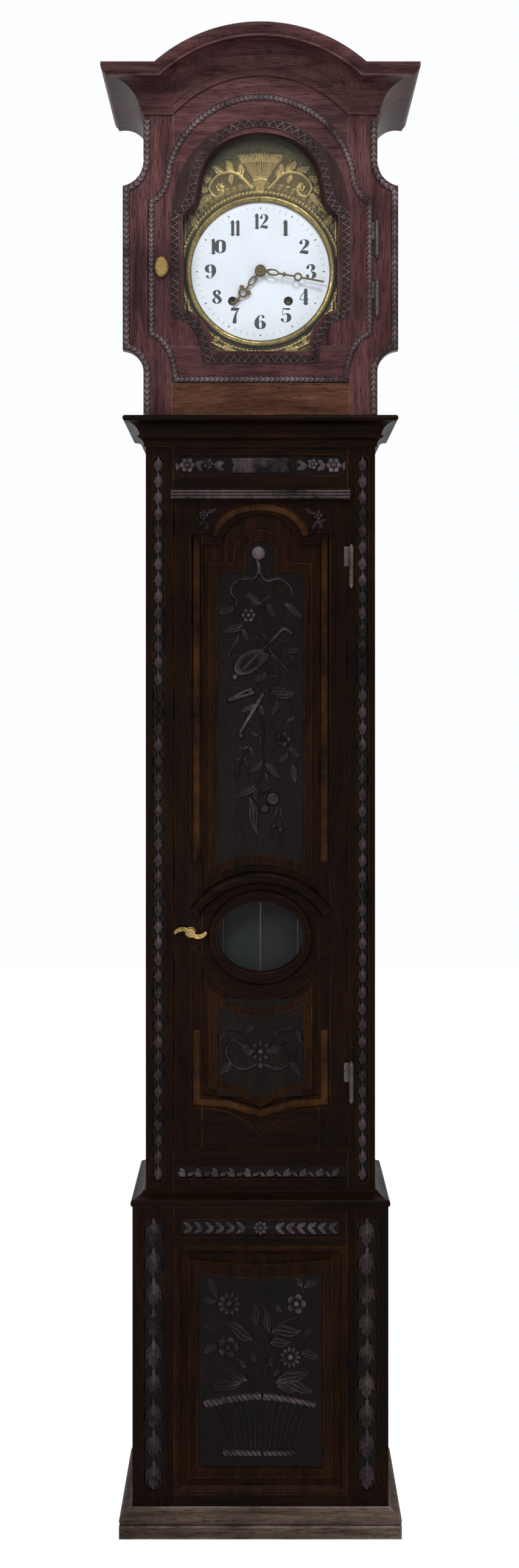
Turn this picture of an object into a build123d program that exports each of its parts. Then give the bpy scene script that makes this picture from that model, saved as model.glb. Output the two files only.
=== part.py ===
from build123d import *
import os
from math import atan2, cos, degrees, pi, radians, sin, sqrt

os.makedirs("parts", exist_ok=True)

# Longcase clock, French country type, in millimetres.
# Origin: middle of the foot print on the floor. +Z is up and the clock faces -Y.

# Case sizes
trunk_width = 369.5
trunk_front = -80.0
case_back = 144.0
base_side_projection = 19.75
base_front_projection = 25.0
base_height = 521.6
trunk_top = 1785.0
front_frame_thickness = 22.0
base_frame_thickness = 20.0
side_thickness = 18.0
back_thickness = 14.0
joint_gap = 0.1

# Plinth and base sizes
plinth_projection = 20.0
plinth_height = 44.0
plinth_flat_height = 20.0
plinth_torus_radius = 9.0
base_stile_inner = 138.0
base_panel_low = 62.5
base_panel_high = 459.0
base_field_half = 115.0
base_sunk_half = 100.0
base_recess_half = 137.0
base_recess_height = 28.0
base_recess_middle = 487.5
base_leaf_recess_inner = 154.0
base_leaf_recess_outer = 187.0
base_leaf_recess_ends = (67.0, 503.0)
carving_depth = 4.0

# Shoulder moulding between base and trunk
shoulder_height = 21.4
shoulder_nose_height = 11.4
shoulder_nose_projection = 3.0

# Trunk front frame sizes
door_half_width = 138.6
door_side_clearance = 1.8
door_low = 607.0
door_high = 1668.0
door_end_clearance = 1.5
trunk_leaf_recess_inner = 155.0
trunk_leaf_recess_outer = 174.0
trunk_leaf_recess_ends = (554.0, 1723.0)
trunk_top_recess = (1692.0, 1726.0)
trunk_low_recess = (560.0, 579.0)
frame_top = 1738.0

# Trunk door: frame opening, sticking on its edge, and the fielded panels
opening_half = 94.0
sticking_width = 18.0
sticking_depth = 3.0
panel_groove = 12.0
panel_back_thickness = 7.0
field_inset = 11.0
sunk_inset = 24.0
panel_bevel_front = -70.0
panel_field_front = -76.0
panel_sunk_front = -73.0
panel_edge_gap = 0.6
upper_shoulder = 1582.0
upper_neck_half = 64.3
upper_crown = 1633.0
brow_centre_height = 915.4
brow_outer_radius = 139.6
brow_width = 20.0
brow_end_half = 116.0
lenticle_height = 949.0
under_lenticle_radius = 103.3
pointed_sill_radius = 139.3
pointed_sill_corner = 692.5
lip_half = 145.3
lip_low = 1652.7
lip_high = 1669.8
lip_projection = 9.0

# Lenticle window in the trunk door
ring_half_width = 84.75
ring_half_height = 76.75
glass_half_width = 70.0
glass_half_height = 57.0
ring_projection = 9.0
lenticle_glass_thickness = 2.5
lenticle_glass_edge = 3.5

# Barrel hinges
barrel_radius = 4.0
barrel_face_gap = 0.3
hinge_pin_radius = 1.5
pin_clearance = 0.05
trunk_hinge_x = 146.0
trunk_hinge_ends = ((686.0, 747.0), (1514.0, 1578.0))
hood_hinge_x = 187.5
hood_hinge_ends = ((1950.0, 2004.0), (2045.0, 2099.0))

# Lever handle of the trunk door and knob of the hood door
handle_x = -112.5
handle_height = 957.0
spindle_radius = 4.0
knob_x = -159.0
knob_height = 2028.0

# Waist cornice
waist_projection = 35.0
waist_height = trunk_top - frame_top

# Hood sizes
hood_half_width = 188.5
hood_ear_half = 222.0
hood_side_thickness = 14.0
hood_frame_thickness = 18.0
hood_ear_low = (1857.0, 1895.0)
hood_ear_high = (2159.0, 2205.0)
hood_stile_top = 2276.0
hood_joint_half = 140.0
hood_rail_high = 1841.0
hood_sill_half = 143.0
hood_opening_half = 182.0
hood_opening_low_corner = 1915.6
hood_opening_high_corner = 2139.0
hood_spring_height = 2185.0
hood_arch_centre = 2149.5
hood_arch_radius = 158.0
hood_door_clearance = 1.2
hood_glass_half = 125.5
hood_glass_low = 1893.0
hood_glass_corner_half = 79.0
hood_glass_corner_high = 1961.0
hood_glass_shoulder = 2113.0
hood_glass_arch_centre = 2123.6
hood_glass_arch_radius = 122.0
hood_glass_thickness = 3.0
hood_glass_edge = 6.0
roof_thickness = 12.0

# Hood cornice: straight at the sides and arched in the middle
cornice_low = 2273.0
cornice_height = 63.7
cornice_projection = 64.0
cornice_arch_centre = 2146.0
cornice_arch_low_radius = 190.0

# Movement sizes
dial_height = 2029.0
cage_half_width = 118.0
cage_front = -14.0
cage_back = 92.0
cage_low = 1905.0
cage_high = 2142.5
plate_thickness = 3.5
pillar_side = 12.0
bar_thickness = 3.5
centre_bar_half = 11.0
side_bar_half = 10.0
winding_x = 45.5
winding_drop = 48.0
seat_thickness = 20.0
cheek_thickness = 14.0
arbor_clearance = 0.05
centre_arbor_radius = 2.5
barrel_arbor_radius = 4.0
hour_pipe_radius = 4.5
motion_module = 1.0
motion_distance = 20.0
stud_radius = 2.0
third_module = 1.0
escape_module = 0.9
drum_radius = 16.0
line_radius = 1.0
line_y = 45.0
escape_radius = 19.0
pallet_gap = 1.2
pendulum_y = -28.0
pendulum_rise = 90.0
pendulum_length = 1298.0
bob_radius = 62.0
bob_thickness = 26.0
rod_radius = 2.0
loop_inner_radius = 11.0
weight_radius = 35.0
weight_height = 150.0
weight_low = 480.0
weight_hook_top = 660.0

# Dial sizes
enamel_radius = 120.0
enamel_front = -45.0
surround_front = -42.0
surround_thickness = 1.0
surround_half = 134.0
surround_low = 1898.0
surround_high = 2257.0
bezel_outer = 125.0
bezel_inner = 112.6
bezel_front = -50.0
winding_hole_radius = 7.5
centre_hole_radius = 6.0
hour_hand_back = -50.0
minute_hand_back = -55.0
hand_thickness = 1.2
hour_hand_angle = 218.4
minute_hand_angle = 100.4

# Derived sizes
trunk_half = trunk_width / 2
base_half = trunk_half + base_side_projection
base_front = trunk_front - base_front_projection
trunk_inner = trunk_half - side_thickness
door_opening_half = door_half_width + door_side_clearance
frame_back = trunk_front + front_frame_thickness
hood_inner = hood_half_width - hood_side_thickness
hood_back_face = trunk_front + hood_frame_thickness
barrel_y = trunk_front - barrel_radius - barrel_face_gap
pendulum_pivot = dial_height + pendulum_rise
barrel_distance = sqrt(winding_x**2 + winding_drop**2)


def front_plane(y):
    """Upright plane at depth y: local x is +X, local y is +Z, and extruding comes forward."""
    return Plane(origin=(0, y, 0), x_dir=(1, 0, 0), z_dir=(0, -1, 0))


def at(x, z, y):
    """The same upright plane with its origin at x, z."""
    return Plane(origin=(x, y, z), x_dir=(1, 0, 0), z_dir=(0, -1, 0))


def side_plane(x):
    """Upright plane across the clock: local x comes forward, local y is +Z, extruding goes to -X."""
    return Plane(origin=(x, 0, 0), x_dir=(0, -1, 0), z_dir=(-1, 0, 0))


def mitre(x, y, side):
    """Upright plane at 45 degrees through an outside corner of the case; side is +1 right, -1 left."""
    return Plane(origin=(side * x, y, 0), z_dir=(side, 1, 0))


# Plinth moulding round the foot of the base, front and two returns, mitred
def plinth_profile(face):
    """Flat, half round and a small cove, with its back on the line local x = face."""
    out = face + plinth_projection
    torus = plinth_torus_radius
    torus_top = plinth_flat_height + 2 * torus
    with BuildSketch(Plane.XY) as section:
        with BuildLine():
            Polyline(
                (face, 0),
                (out, 0),
                (out, plinth_flat_height),
                (out - torus, plinth_flat_height),
            )
            ThreePointArc(
                (out - torus, plinth_flat_height),
                (out, plinth_flat_height + torus),
                (out - torus, torus_top),
            )
            ThreePointArc(
                (out - torus, torus_top),
                (out - torus - 5, torus_top + 1.8),
                (face + 3, plinth_height),
            )
            Polyline((face + 3, plinth_height), (face, plinth_height), (face, 0))
        make_face()
    return section.sketch


with BuildPart() as plinth_front:
    with BuildSketch(side_plane(base_half + 40)):
        add(plinth_profile(-base_front))
    extrude(amount=2 * base_half + 80)
    split(bisect_by=mitre(base_half, base_front, 1).offset(-joint_gap / 2), keep=Keep.BOTTOM)
    split(bisect_by=mitre(base_half, base_front, -1).offset(-joint_gap / 2), keep=Keep.BOTTOM)

with BuildPart() as plinth_return:
    with BuildSketch(front_plane(case_back)):
        add(plinth_profile(base_half))
    extrude(amount=case_back - base_front + 40)
    split(bisect_by=mitre(base_half, base_front, 1).offset(joint_gap / 2), keep=Keep.TOP)

with BuildPart() as plinth_moulding:
    add(plinth_front.part)
    add(plinth_return.part)
    mirror(plinth_return.part, about=Plane.YZ)

plinth_moulding.part.label = "plinth_moulding"
export_step(plinth_moulding.part, "parts/plinth_moulding.step")

# Base: two carved stiles, two rails, a fielded panel and plain sides
with BuildPart() as base_stiles:
    with BuildSketch(front_plane(base_front + base_frame_thickness)):
        with Locations(((base_stile_inner + base_half) / 2, base_height / 2)):
            Rectangle(base_half - base_stile_inner, base_height)
    extrude(amount=base_frame_thickness)
    with BuildSketch(front_plane(base_front)):
        with Locations(
            (
                (base_leaf_recess_inner + base_leaf_recess_outer) / 2,
                sum(base_leaf_recess_ends) / 2,
            )
        ):
            SlotOverall(
                base_leaf_recess_ends[1] - base_leaf_recess_ends[0],
                base_leaf_recess_outer - base_leaf_recess_inner,
                rotation=90,
            )
    extrude(amount=-carving_depth, mode=Mode.SUBTRACT)
    mirror(about=Plane.YZ)

base_stiles.part.label = "base_stiles"
export_step(base_stiles.part, "parts/base_stiles.step")

with BuildPart() as base_rails:
    with BuildSketch(front_plane(base_front + base_frame_thickness)):
        with Locations((0, (base_panel_high + base_height) / 2)):
            Rectangle(2 * base_stile_inner, base_height - base_panel_high)
        with Locations((0, base_panel_low / 2)):
            Rectangle(2 * base_stile_inner, base_panel_low)
    extrude(amount=base_frame_thickness)
    with BuildSketch(front_plane(base_front)):
        with Locations((0, base_recess_middle)):
            SlotOverall(2 * base_recess_half, base_recess_height)
    extrude(amount=-carving_depth, mode=Mode.SUBTRACT)

base_rails.part.label = "base_rails"
export_step(base_rails.part, "parts/base_rails.step")

base_moulding_width = base_stile_inner - base_field_half
base_field_low = base_panel_low + base_moulding_width + 3.5
base_field_high = base_panel_high - base_moulding_width + 2
base_field_dip = 8.0
base_sunk_low = 103.5
base_sunk_high = 416.0

with BuildPart() as base_panel:
    with BuildSketch(front_plane(base_front + 14)):
        with Locations((0, (base_panel_low + base_panel_high) / 2)):
            Rectangle(2 * base_stile_inner, base_panel_high - base_panel_low)
    extrude(amount=7)
    with BuildSketch(front_plane(base_front + 7)) as moulding_area:
        with Locations((0, (base_panel_low + base_panel_high) / 2)):
            Rectangle(2 * base_stile_inner, base_panel_high - base_panel_low)
            Rectangle(
                2 * base_stile_inner - 26, base_panel_high - base_panel_low - 26, mode=Mode.SUBTRACT
            )
    extrude(amount=9)
    chamfer(base_panel.faces().sort_by(Axis.Y)[0].inner_wires()[0].edges(), length=7, length2=6)
    with BuildSketch(front_plane(base_front + 7)):
        with BuildLine():
            Polyline(
                (0, base_field_low), (base_field_half, base_field_low), (base_field_half, base_field_high)
            )
            ThreePointArc(
                (base_field_half, base_field_high),
                (base_field_half / 2, base_field_high - 0.75 * base_field_dip),
                (0, base_field_high - base_field_dip),
            )
            mirror(about=Plane.YZ)
        make_face()
    extrude(amount=7)
    with BuildSketch(front_plane(base_front)):
        with BuildLine():
            Polyline((0, base_sunk_low), (base_sunk_half, base_sunk_low), (base_sunk_half, base_sunk_high))
            ThreePointArc(
                (base_sunk_half, base_sunk_high),
                (base_sunk_half / 2, base_sunk_high - 0.75 * base_field_dip),
                (0, base_sunk_high - base_field_dip),
            )
            mirror(about=Plane.YZ)
        make_face()
    extrude(amount=-carving_depth, mode=Mode.SUBTRACT)

base_panel.part.label = "base_panel"
export_step(base_panel.part, "parts/base_panel.step")

with BuildPart() as base_sides:
    with BuildSketch(Plane.XY):
        with Locations(
            (
                (base_half + trunk_half) / 2,
                (base_front + base_frame_thickness + case_back) / 2,
            )
        ):
            Rectangle(base_side_projection, case_back - base_front - base_frame_thickness)
    extrude(amount=base_height)
    mirror(about=Plane.YZ)

base_sides.part.label = "base_sides"
export_step(base_sides.part, "parts/base_sides.step")

# Back boards: two boards with a seam, narrower behind the movement so that the hood slides past
back_neck_half = hood_inner - 2.5
back_top = 2262.0

with BuildPart() as back_boards:
    with BuildSketch(front_plane(case_back)):
        with BuildLine():
            Polyline(
                (joint_gap / 2, 0),
                (trunk_half - joint_gap, 0),
                (trunk_half - joint_gap, trunk_top),
                (back_neck_half, trunk_top),
                (back_neck_half, back_top),
                (joint_gap / 2, back_top),
                (joint_gap / 2, 0),
            )
        make_face()
    extrude(amount=back_thickness)
    mirror(about=Plane.YZ)

back_boards.part.label = "back_boards"
export_step(back_boards.part, "parts/back_boards.step")

# Shoulder moulding: rounded nose and a cyma drawn in to the trunk
def shoulder_profile(outer, inner):
    """From the nose, which stands past the base face, up and in to the trunk face."""
    nose = outer + shoulder_nose_projection
    with BuildSketch(Plane.XY) as section:
        with BuildLine():
            Line((inner, 0), (nose - 3, 0))
            ThreePointArc(
                (nose - 3, 0), (nose, shoulder_nose_height / 2), (nose - 3, shoulder_nose_height)
            )
            Line((nose - 3, shoulder_nose_height), (nose - 6, shoulder_nose_height))
            ThreePointArc(
                (nose - 6, shoulder_nose_height),
                ((nose - 6 + inner) / 2 + 2, shoulder_nose_height + 3),
                (inner + 3, shoulder_height),
            )
            Polyline((inner + 3, shoulder_height), (inner, shoulder_height), (inner, 0))
        make_face()
    return section.sketch


with BuildPart() as shoulder_front:
    with BuildSketch(side_plane(base_half + 40)) as shoulder_section:
        add(shoulder_profile(-base_front, -trunk_front))
    extrude(amount=2 * base_half + 80)
    split(
        bisect_by=Plane(origin=(trunk_half, trunk_front, 0), z_dir=(5, 4, 0)).offset(-joint_gap / 2),
        keep=Keep.BOTTOM,
    )
    split(
        bisect_by=Plane(origin=(-trunk_half, trunk_front, 0), z_dir=(-5, 4, 0)).offset(-joint_gap / 2),
        keep=Keep.BOTTOM,
    )

with BuildPart() as shoulder_return:
    with BuildSketch(front_plane(case_back)):
        add(shoulder_profile(base_half, trunk_half))
    extrude(amount=case_back - base_front + 40)
    split(
        bisect_by=Plane(origin=(trunk_half, trunk_front, 0), z_dir=(5, 4, 0)).offset(joint_gap / 2),
        keep=Keep.TOP,
    )

with BuildPart() as shoulder_moulding:
    with Locations((0, 0, base_height)):
        add(shoulder_front.part)
        add(shoulder_return.part)
        add(mirror(shoulder_return.part, about=Plane.YZ, mode=Mode.PRIVATE))

shoulder_moulding.part.label = "shoulder_moulding"
export_step(shoulder_moulding.part, "parts/shoulder_moulding.step")

# Trunk front frame: stiles with a sunk leaf channel, top and bottom rail
with BuildPart() as trunk_stiles:
    with BuildSketch(front_plane(frame_back)):
        with Locations(
            ((door_opening_half + trunk_half) / 2, (base_height + trunk_top) / 2)
        ):
            Rectangle(trunk_half - door_opening_half, trunk_top - base_height)
    extrude(amount=front_frame_thickness)
    with BuildSketch(front_plane(trunk_front)):
        with Locations(
            (
                (trunk_leaf_recess_inner + trunk_leaf_recess_outer) / 2,
                sum(trunk_leaf_recess_ends) / 2,
            )
        ):
            SlotOverall(
                trunk_leaf_recess_ends[1] - trunk_leaf_recess_ends[0],
                trunk_leaf_recess_outer - trunk_leaf_recess_inner,
                rotation=90,
            )
    extrude(amount=-carving_depth, mode=Mode.SUBTRACT)
    mirror(about=Plane.YZ)

trunk_stiles.part.label = "trunk_stiles"
export_step(trunk_stiles.part, "parts/trunk_stiles.step")

trunk_top_rail_low = door_high + door_end_clearance
trunk_low_rail_high = door_low - door_end_clearance

with BuildPart() as trunk_rails:
    with BuildSketch(front_plane(frame_back)):
        with Locations((0, (trunk_top_rail_low + trunk_top) / 2)):
            Rectangle(2 * door_opening_half, trunk_top - trunk_top_rail_low)
        with Locations((0, (base_height + trunk_low_rail_high) / 2)):
            Rectangle(2 * door_opening_half, trunk_low_rail_high - base_height)
    extrude(amount=front_frame_thickness)
    with BuildSketch(front_plane(trunk_front)):
        with Locations((0, sum(trunk_top_recess) / 2)):
            SlotOverall(2 * base_recess_half, trunk_top_recess[1] - trunk_top_recess[0])
        with Locations((0, sum(trunk_low_recess) / 2)):
            SlotOverall(2 * base_recess_half, trunk_low_recess[1] - trunk_low_recess[0])
    extrude(amount=-carving_depth, mode=Mode.SUBTRACT)

trunk_rails.part.label = "trunk_rails"
export_step(trunk_rails.part, "parts/trunk_rails.step")

trunk_side_foot = 482.0

with BuildPart() as trunk_sides:
    with BuildSketch(Plane.XY.offset(trunk_side_foot)):
        with Locations(
            (trunk_half - side_thickness / 2, (frame_back + case_back - back_thickness) / 2)
        ):
            Rectangle(side_thickness, case_back - back_thickness - frame_back)
    extrude(amount=trunk_top - trunk_side_foot)
    mirror(about=Plane.YZ)

trunk_sides.part.label = "trunk_sides"
export_step(trunk_sides.part, "parts/trunk_sides.step")

# Waist cornice: bead, fillet, cove and a small step, mitred at the two front corners
def waist_profile(face):
    """Profile standing on the trunk face at local x = face; its foot is at local y = 0."""
    with BuildSketch(Plane.XY) as section:
        with BuildLine():
            Polyline((face, 0), (face + 3, 0), (face + 3, 4))
            ThreePointArc((face + 3, 4), (face + 5.5, 10), (face + 12, 14))
            Polyline((face + 12, 14), (face + 12, 18), (face + 9.5, 18))
            ThreePointArc((face + 9.5, 18), (face + 14.5, 30), (face + 29, waist_height - 9))
            Polyline((face + 29, waist_height - 9), (face + 32, waist_height - 9))
            ThreePointArc(
                (face + 32, waist_height - 9),
                (face + waist_projection, waist_height - 4.5),
                (face + 32, waist_height),
            )
            Polyline((face + 32, waist_height), (face, waist_height), (face, 0))
        make_face()
    return section.sketch


with BuildPart() as waist_front:
    with BuildSketch(side_plane(trunk_half + 60)):
        add(waist_profile(-trunk_front))
    extrude(amount=2 * trunk_half + 120)
    split(bisect_by=mitre(trunk_half, trunk_front, 1).offset(-joint_gap / 2), keep=Keep.BOTTOM)
    split(bisect_by=mitre(trunk_half, trunk_front, -1).offset(-joint_gap / 2), keep=Keep.BOTTOM)

with BuildPart() as waist_return:
    with BuildSketch(front_plane(case_back)):
        add(waist_profile(trunk_half))
    extrude(amount=case_back - trunk_front + 60)
    split(bisect_by=mitre(trunk_half, trunk_front, 1).offset(joint_gap / 2), keep=Keep.TOP)

with BuildPart() as waist_cornice:
    with Locations((0, 0, frame_top)):
        add(waist_front.part)
        add(waist_return.part)
        add(mirror(waist_return.part, about=Plane.YZ, mode=Mode.PRIVATE))

waist_cornice.part.label = "waist_cornice"
export_step(waist_cornice.part, "parts/waist_cornice.step")

# Seat board for the movement, on two cheeks screwed inside the trunk sides
seat_top = cage_low
seat_front = -10.0
seat_back = 100.0
cheek_foot = 1560.0
line_slot = (14.0, 34.0)
line_x = winding_x + drum_radius + line_radius

with BuildPart() as seat_board:
    with BuildSketch(Plane.XY.offset(seat_top - seat_thickness)):
        with Locations((0, (seat_front + seat_back) / 2)):
            Rectangle(2 * trunk_inner, seat_back - seat_front)
        with Locations((line_x, line_y), (-line_x, line_y)):
            Rectangle(*line_slot, mode=Mode.SUBTRACT)
    extrude(amount=seat_thickness)
    with BuildSketch(Plane.XY.offset(cheek_foot)):
        with Locations(
            (trunk_inner - cheek_thickness / 2, (seat_front + seat_back) / 2),
            (cheek_thickness / 2 - trunk_inner, (seat_front + seat_back) / 2),
        ):
            Rectangle(cheek_thickness, seat_back - seat_front)
    extrude(amount=seat_top - seat_thickness - joint_gap - cheek_foot)

seat_board.part.label = "seat_board"
export_step(seat_board.part, "parts/seat_board.step")


# Barrel hinges: the lower half with its pin stays on the case, the upper half turns with the door
def hinge_lower_half(axis_x, low, high):
    """Lower barrel half with the pin and a foot that lies flat on the stile."""
    half_length = (high - low) / 2
    with BuildPart() as half:
        with BuildSketch(Plane.XY.offset(low)):
            with Locations((axis_x, barrel_y)):
                Circle(barrel_radius)
            with Locations((axis_x, (barrel_y + trunk_front) / 2)):
                Rectangle(barrel_radius * 1.2, trunk_front - barrel_y)
        extrude(amount=half_length - 0.1)
        with BuildSketch(Plane.XY.offset(low + half_length - 0.1)):
            with Locations((axis_x, barrel_y)):
                Circle(hinge_pin_radius)
        extrude(amount=half_length - 4)
        with BuildSketch(Plane.XY.offset(low - 3)):
            with Locations((axis_x, barrel_y)):
                Circle(barrel_radius * 0.6)
        extrude(amount=3)
    return half.part


def hinge_upper_half(axis_x, low, high, door_edge):
    """Upper barrel half, bored for the pin, with its leaf lapped on the edge of the door."""
    half_length = (high - low) / 2
    leaf_start = door_edge - 4
    with BuildPart() as half:
        with BuildSketch(Plane.XY.offset(low + half_length + 0.1)):
            with Locations((axis_x, barrel_y)):
                Circle(barrel_radius)
            with Locations(((leaf_start + axis_x) / 2, trunk_front - 0.9)):
                Rectangle(axis_x - leaf_start, 1.2)
        extrude(amount=half_length - 0.1)
        with BuildSketch(Plane.XY.offset(low + half_length + 0.1)):
            with Locations(((leaf_start + door_edge) / 2, trunk_front - 0.75)):
                Rectangle(door_edge - leaf_start, 1.5)
        extrude(amount=half_length - 0.1)
        with BuildSketch(Plane.XY.offset(low + half_length + 0.1)):
            with Locations((axis_x, barrel_y)):
                Circle(hinge_pin_radius + pin_clearance)
        extrude(amount=half_length - 3.5, mode=Mode.SUBTRACT)
        with BuildSketch(Plane.XY.offset(high)):
            with Locations((axis_x, barrel_y)):
                Circle(barrel_radius * 0.6)
        extrude(amount=3)
    return half.part


with BuildPart() as trunk_hinge_pins:
    for ends in trunk_hinge_ends:
        add(hinge_lower_half(trunk_hinge_x, *ends))

trunk_hinge_pins.part.label = "trunk_hinge_pins"
export_step(trunk_hinge_pins.part, "parts/trunk_hinge_pins.step")

with BuildPart() as door_hinge_barrels:
    for ends in trunk_hinge_ends:
        add(hinge_upper_half(trunk_hinge_x, *ends, door_half_width))

door_hinge_barrels.part.label = "door_hinge_barrels"
export_step(door_hinge_barrels.part, "parts/door_hinge_barrels.step")


# Trunk door: the two shaped openings of its frame, drawn once and offset for panels and sticking
def upper_outline(side_inset, foot_inset, shoulder_drop, neck_inset, crown_drop):
    """Upper opening: arched foot over the lenticle, square shoulders and a round crown."""
    half = opening_half - side_inset
    foot = brow_outer_radius + foot_inset
    shoulder = upper_shoulder - shoulder_drop
    neck = upper_neck_half - neck_inset
    crown = upper_crown - crown_drop
    rise = crown - shoulder
    radius = max((neck**2 + rise**2) / (2 * rise), neck)
    spring = crown - radius + sqrt(radius**2 - neck**2)
    foot_corner = brow_centre_height + sqrt(foot**2 - half**2)
    with BuildSketch(Plane.XY) as section:
        with BuildLine():
            ThreePointArc(
                (0, brow_centre_height + foot),
                (half / 2, brow_centre_height + sqrt(foot**2 - half**2 / 4)),
                (half, foot_corner),
            )
            Polyline((half, foot_corner), (half, shoulder), (neck, shoulder))
            if spring > shoulder + 0.01:
                Line((neck, shoulder), (neck, spring))
            ThreePointArc(
                (neck, spring),
                (neck * 0.7, crown - radius + sqrt(radius**2 - (neck * 0.7) ** 2)),
                (0, crown),
            )
            mirror(about=Plane.YZ)
        make_face()
    return section.sketch


def lower_outline(side_inset, curve_inset):
    """Lower opening: hollowed under the lenticle, and a pointed sill of two arcs."""
    half = opening_half - side_inset
    top = under_lenticle_radius + curve_inset
    sill = pointed_sill_radius + curve_inset
    sill_centre = pointed_sill_corner - pointed_sill_radius
    top_corner = lenticle_height - sqrt(top**2 - min(half, top - 1) ** 2)
    low_corner = sill_centre + sqrt(sill**2 - (opening_half - half) ** 2)
    with BuildSketch(Plane.XY) as section:
        with BuildLine():
            ThreePointArc(
                (0, lenticle_height - top),
                (half / 2, lenticle_height - sqrt(top**2 - half**2 / 4)),
                (half, top_corner),
            )
            Line((half, top_corner), (half, low_corner))
            ThreePointArc(
                (half, low_corner),
                (half / 2, sill_centre + sqrt(sill**2 - (opening_half - half / 2) ** 2)),
                (0, sill_centre + sqrt(sill**2 - opening_half**2)),
            )
            mirror(about=Plane.YZ)
        make_face()
    return section.sketch


upper_rebate = (1011.0, 1645.0)
lower_rebate = (624.0, 886.0)
rebate_half = opening_half + panel_groove
stile_joint = opening_half


def door_frame():
    """The whole door frame: board, two openings, rebates behind and sunk sticking in front."""
    with BuildPart() as frame:
        with BuildSketch(front_plane(frame_back)):
            with Locations((0, (door_low + door_high) / 2)):
                Rectangle(2 * door_half_width, door_high - door_low)
            add(upper_outline(0, 0, 0, 0, 0), mode=Mode.SUBTRACT)
            add(lower_outline(0, 0), mode=Mode.SUBTRACT)
        extrude(amount=front_frame_thickness)
        with BuildSketch(front_plane(frame_back)):
            with Locations((0, sum(upper_rebate) / 2)):
                Rectangle(2 * rebate_half, upper_rebate[1] - upper_rebate[0])
            with Locations((0, sum(lower_rebate) / 2)):
                Rectangle(2 * rebate_half, lower_rebate[1] - lower_rebate[0])
        extrude(amount=panel_back_thickness, mode=Mode.SUBTRACT)
        with BuildSketch(front_plane(trunk_front)):
            add(upper_outline(-sticking_width, 0, -sticking_width, -sticking_width, -sticking_width))
        extrude(amount=-sticking_depth, mode=Mode.SUBTRACT)
        with BuildSketch(front_plane(trunk_front)):
            add(lower_outline(-sticking_width, -sticking_width))
        extrude(amount=-sticking_depth, mode=Mode.SUBTRACT)
        with BuildSketch(front_plane(frame_back)):
            with Locations((0, lenticle_height)):
                Ellipse(glass_half_width + lenticle_glass_edge + 0.5, glass_half_height + lenticle_glass_edge + 0.5)
        extrude(amount=lenticle_glass_thickness, mode=Mode.SUBTRACT)
        with BuildSketch(front_plane(frame_back)):
            with Locations((0, lenticle_height)):
                Ellipse(glass_half_width, glass_half_height)
        extrude(amount=front_frame_thickness, mode=Mode.SUBTRACT)
        with BuildSketch(at(handle_x, handle_height, frame_back)):
            Circle(spindle_radius + 0.1)
        extrude(amount=front_frame_thickness, mode=Mode.SUBTRACT)
    return frame.part


def front_box(x_low, x_high, z_low, z_high):
    """Block through the thickness of a front frame, for cutting a frame into its pieces."""
    with BuildPart() as block:
        with BuildSketch(front_plane(frame_back + 1)):
            with Locations(((x_low + x_high) / 2, (z_low + z_high) / 2)):
                Rectangle(x_high - x_low, z_high - z_low)
        extrude(amount=front_frame_thickness + 2)
    return block.part


whole_door_frame = door_frame()

with BuildPart() as door_stiles:
    add(whole_door_frame)
    add(
        front_box(-stile_joint - joint_gap, stile_joint + joint_gap, door_low - 1, door_high + 1),
        mode=Mode.SUBTRACT,
    )

door_stiles.part.label = "door_stiles"
export_step(door_stiles.part, "parts/door_stiles.step")

with BuildPart() as door_rails:
    add(whole_door_frame)
    add(front_box(-stile_joint, stile_joint, door_low - 1, door_high + 1), mode=Mode.INTERSECT)

door_rails.part.label = "door_rails"
export_step(door_rails.part, "parts/door_rails.step")

# Arched brow moulding over the lenticle, half round, with rounded ends
brow_middle_radius = brow_outer_radius - brow_width / 2
brow_end_angle = degrees(atan2(sqrt(brow_middle_radius**2 - 106**2), 106))

with BuildPart() as door_brow:
    with BuildLine(front_plane(trunk_front)):
        CenterArc((0, brow_centre_height), brow_middle_radius, brow_end_angle, 180 - 2 * brow_end_angle)
    with BuildSketch(
        Plane(
            origin=(106, trunk_front, brow_centre_height + sqrt(brow_middle_radius**2 - 106**2)),
            x_dir=(cos(radians(brow_end_angle)), 0, sin(radians(brow_end_angle))),
            z_dir=(sin(radians(brow_end_angle)), 0, -cos(radians(brow_end_angle))),
        )
    ):
        with BuildLine():
            Line((-brow_width / 2, 0), (brow_width / 2, 0))
            Line((brow_width / 2, 0), (brow_width / 2, 3.2))
            ThreePointArc((brow_width / 2, 3.2), (0, 12), (-brow_width / 2, 3.2))
            Line((-brow_width / 2, 3.2), (-brow_width / 2, 0))
        make_face()
    sweep()

# Fielded panels: plate in the rebate, bevelled margin, raised field and sunk ground for carving
def fielded_panel(rebate, margin, field, sunk):
    """Panel from its plate in the rebate to the sunk ground of the carving."""
    plate_front = frame_back - panel_back_thickness
    with BuildPart() as panel:
        with BuildSketch(front_plane(frame_back)):
            with Locations((0, sum(rebate) / 2)):
                Rectangle(2 * rebate_half - 1, rebate[1] - rebate[0] - 1)
        extrude(amount=panel_back_thickness)
        with BuildSketch(front_plane(plate_front)):
            add(margin)
        extrude(amount=plate_front - panel_bevel_front)
        with BuildSketch(front_plane(panel_bevel_front)):
            add(field)
        extrude(amount=panel_bevel_front - panel_field_front)
        with BuildSketch(front_plane(panel_field_front)):
            add(sunk)
        extrude(amount=panel_field_front - panel_sunk_front, mode=Mode.SUBTRACT)
    return panel.part


with BuildPart() as door_upper_panel:
    add(
        fielded_panel(
            upper_rebate,
            upper_outline(panel_edge_gap, panel_edge_gap, panel_edge_gap, panel_edge_gap, panel_edge_gap),
            upper_outline(field_inset, 12, 30.3, 21.3, 27.6),
            upper_outline(sunk_inset, 26, 45, 39.4, 45),
        )
    )

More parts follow.
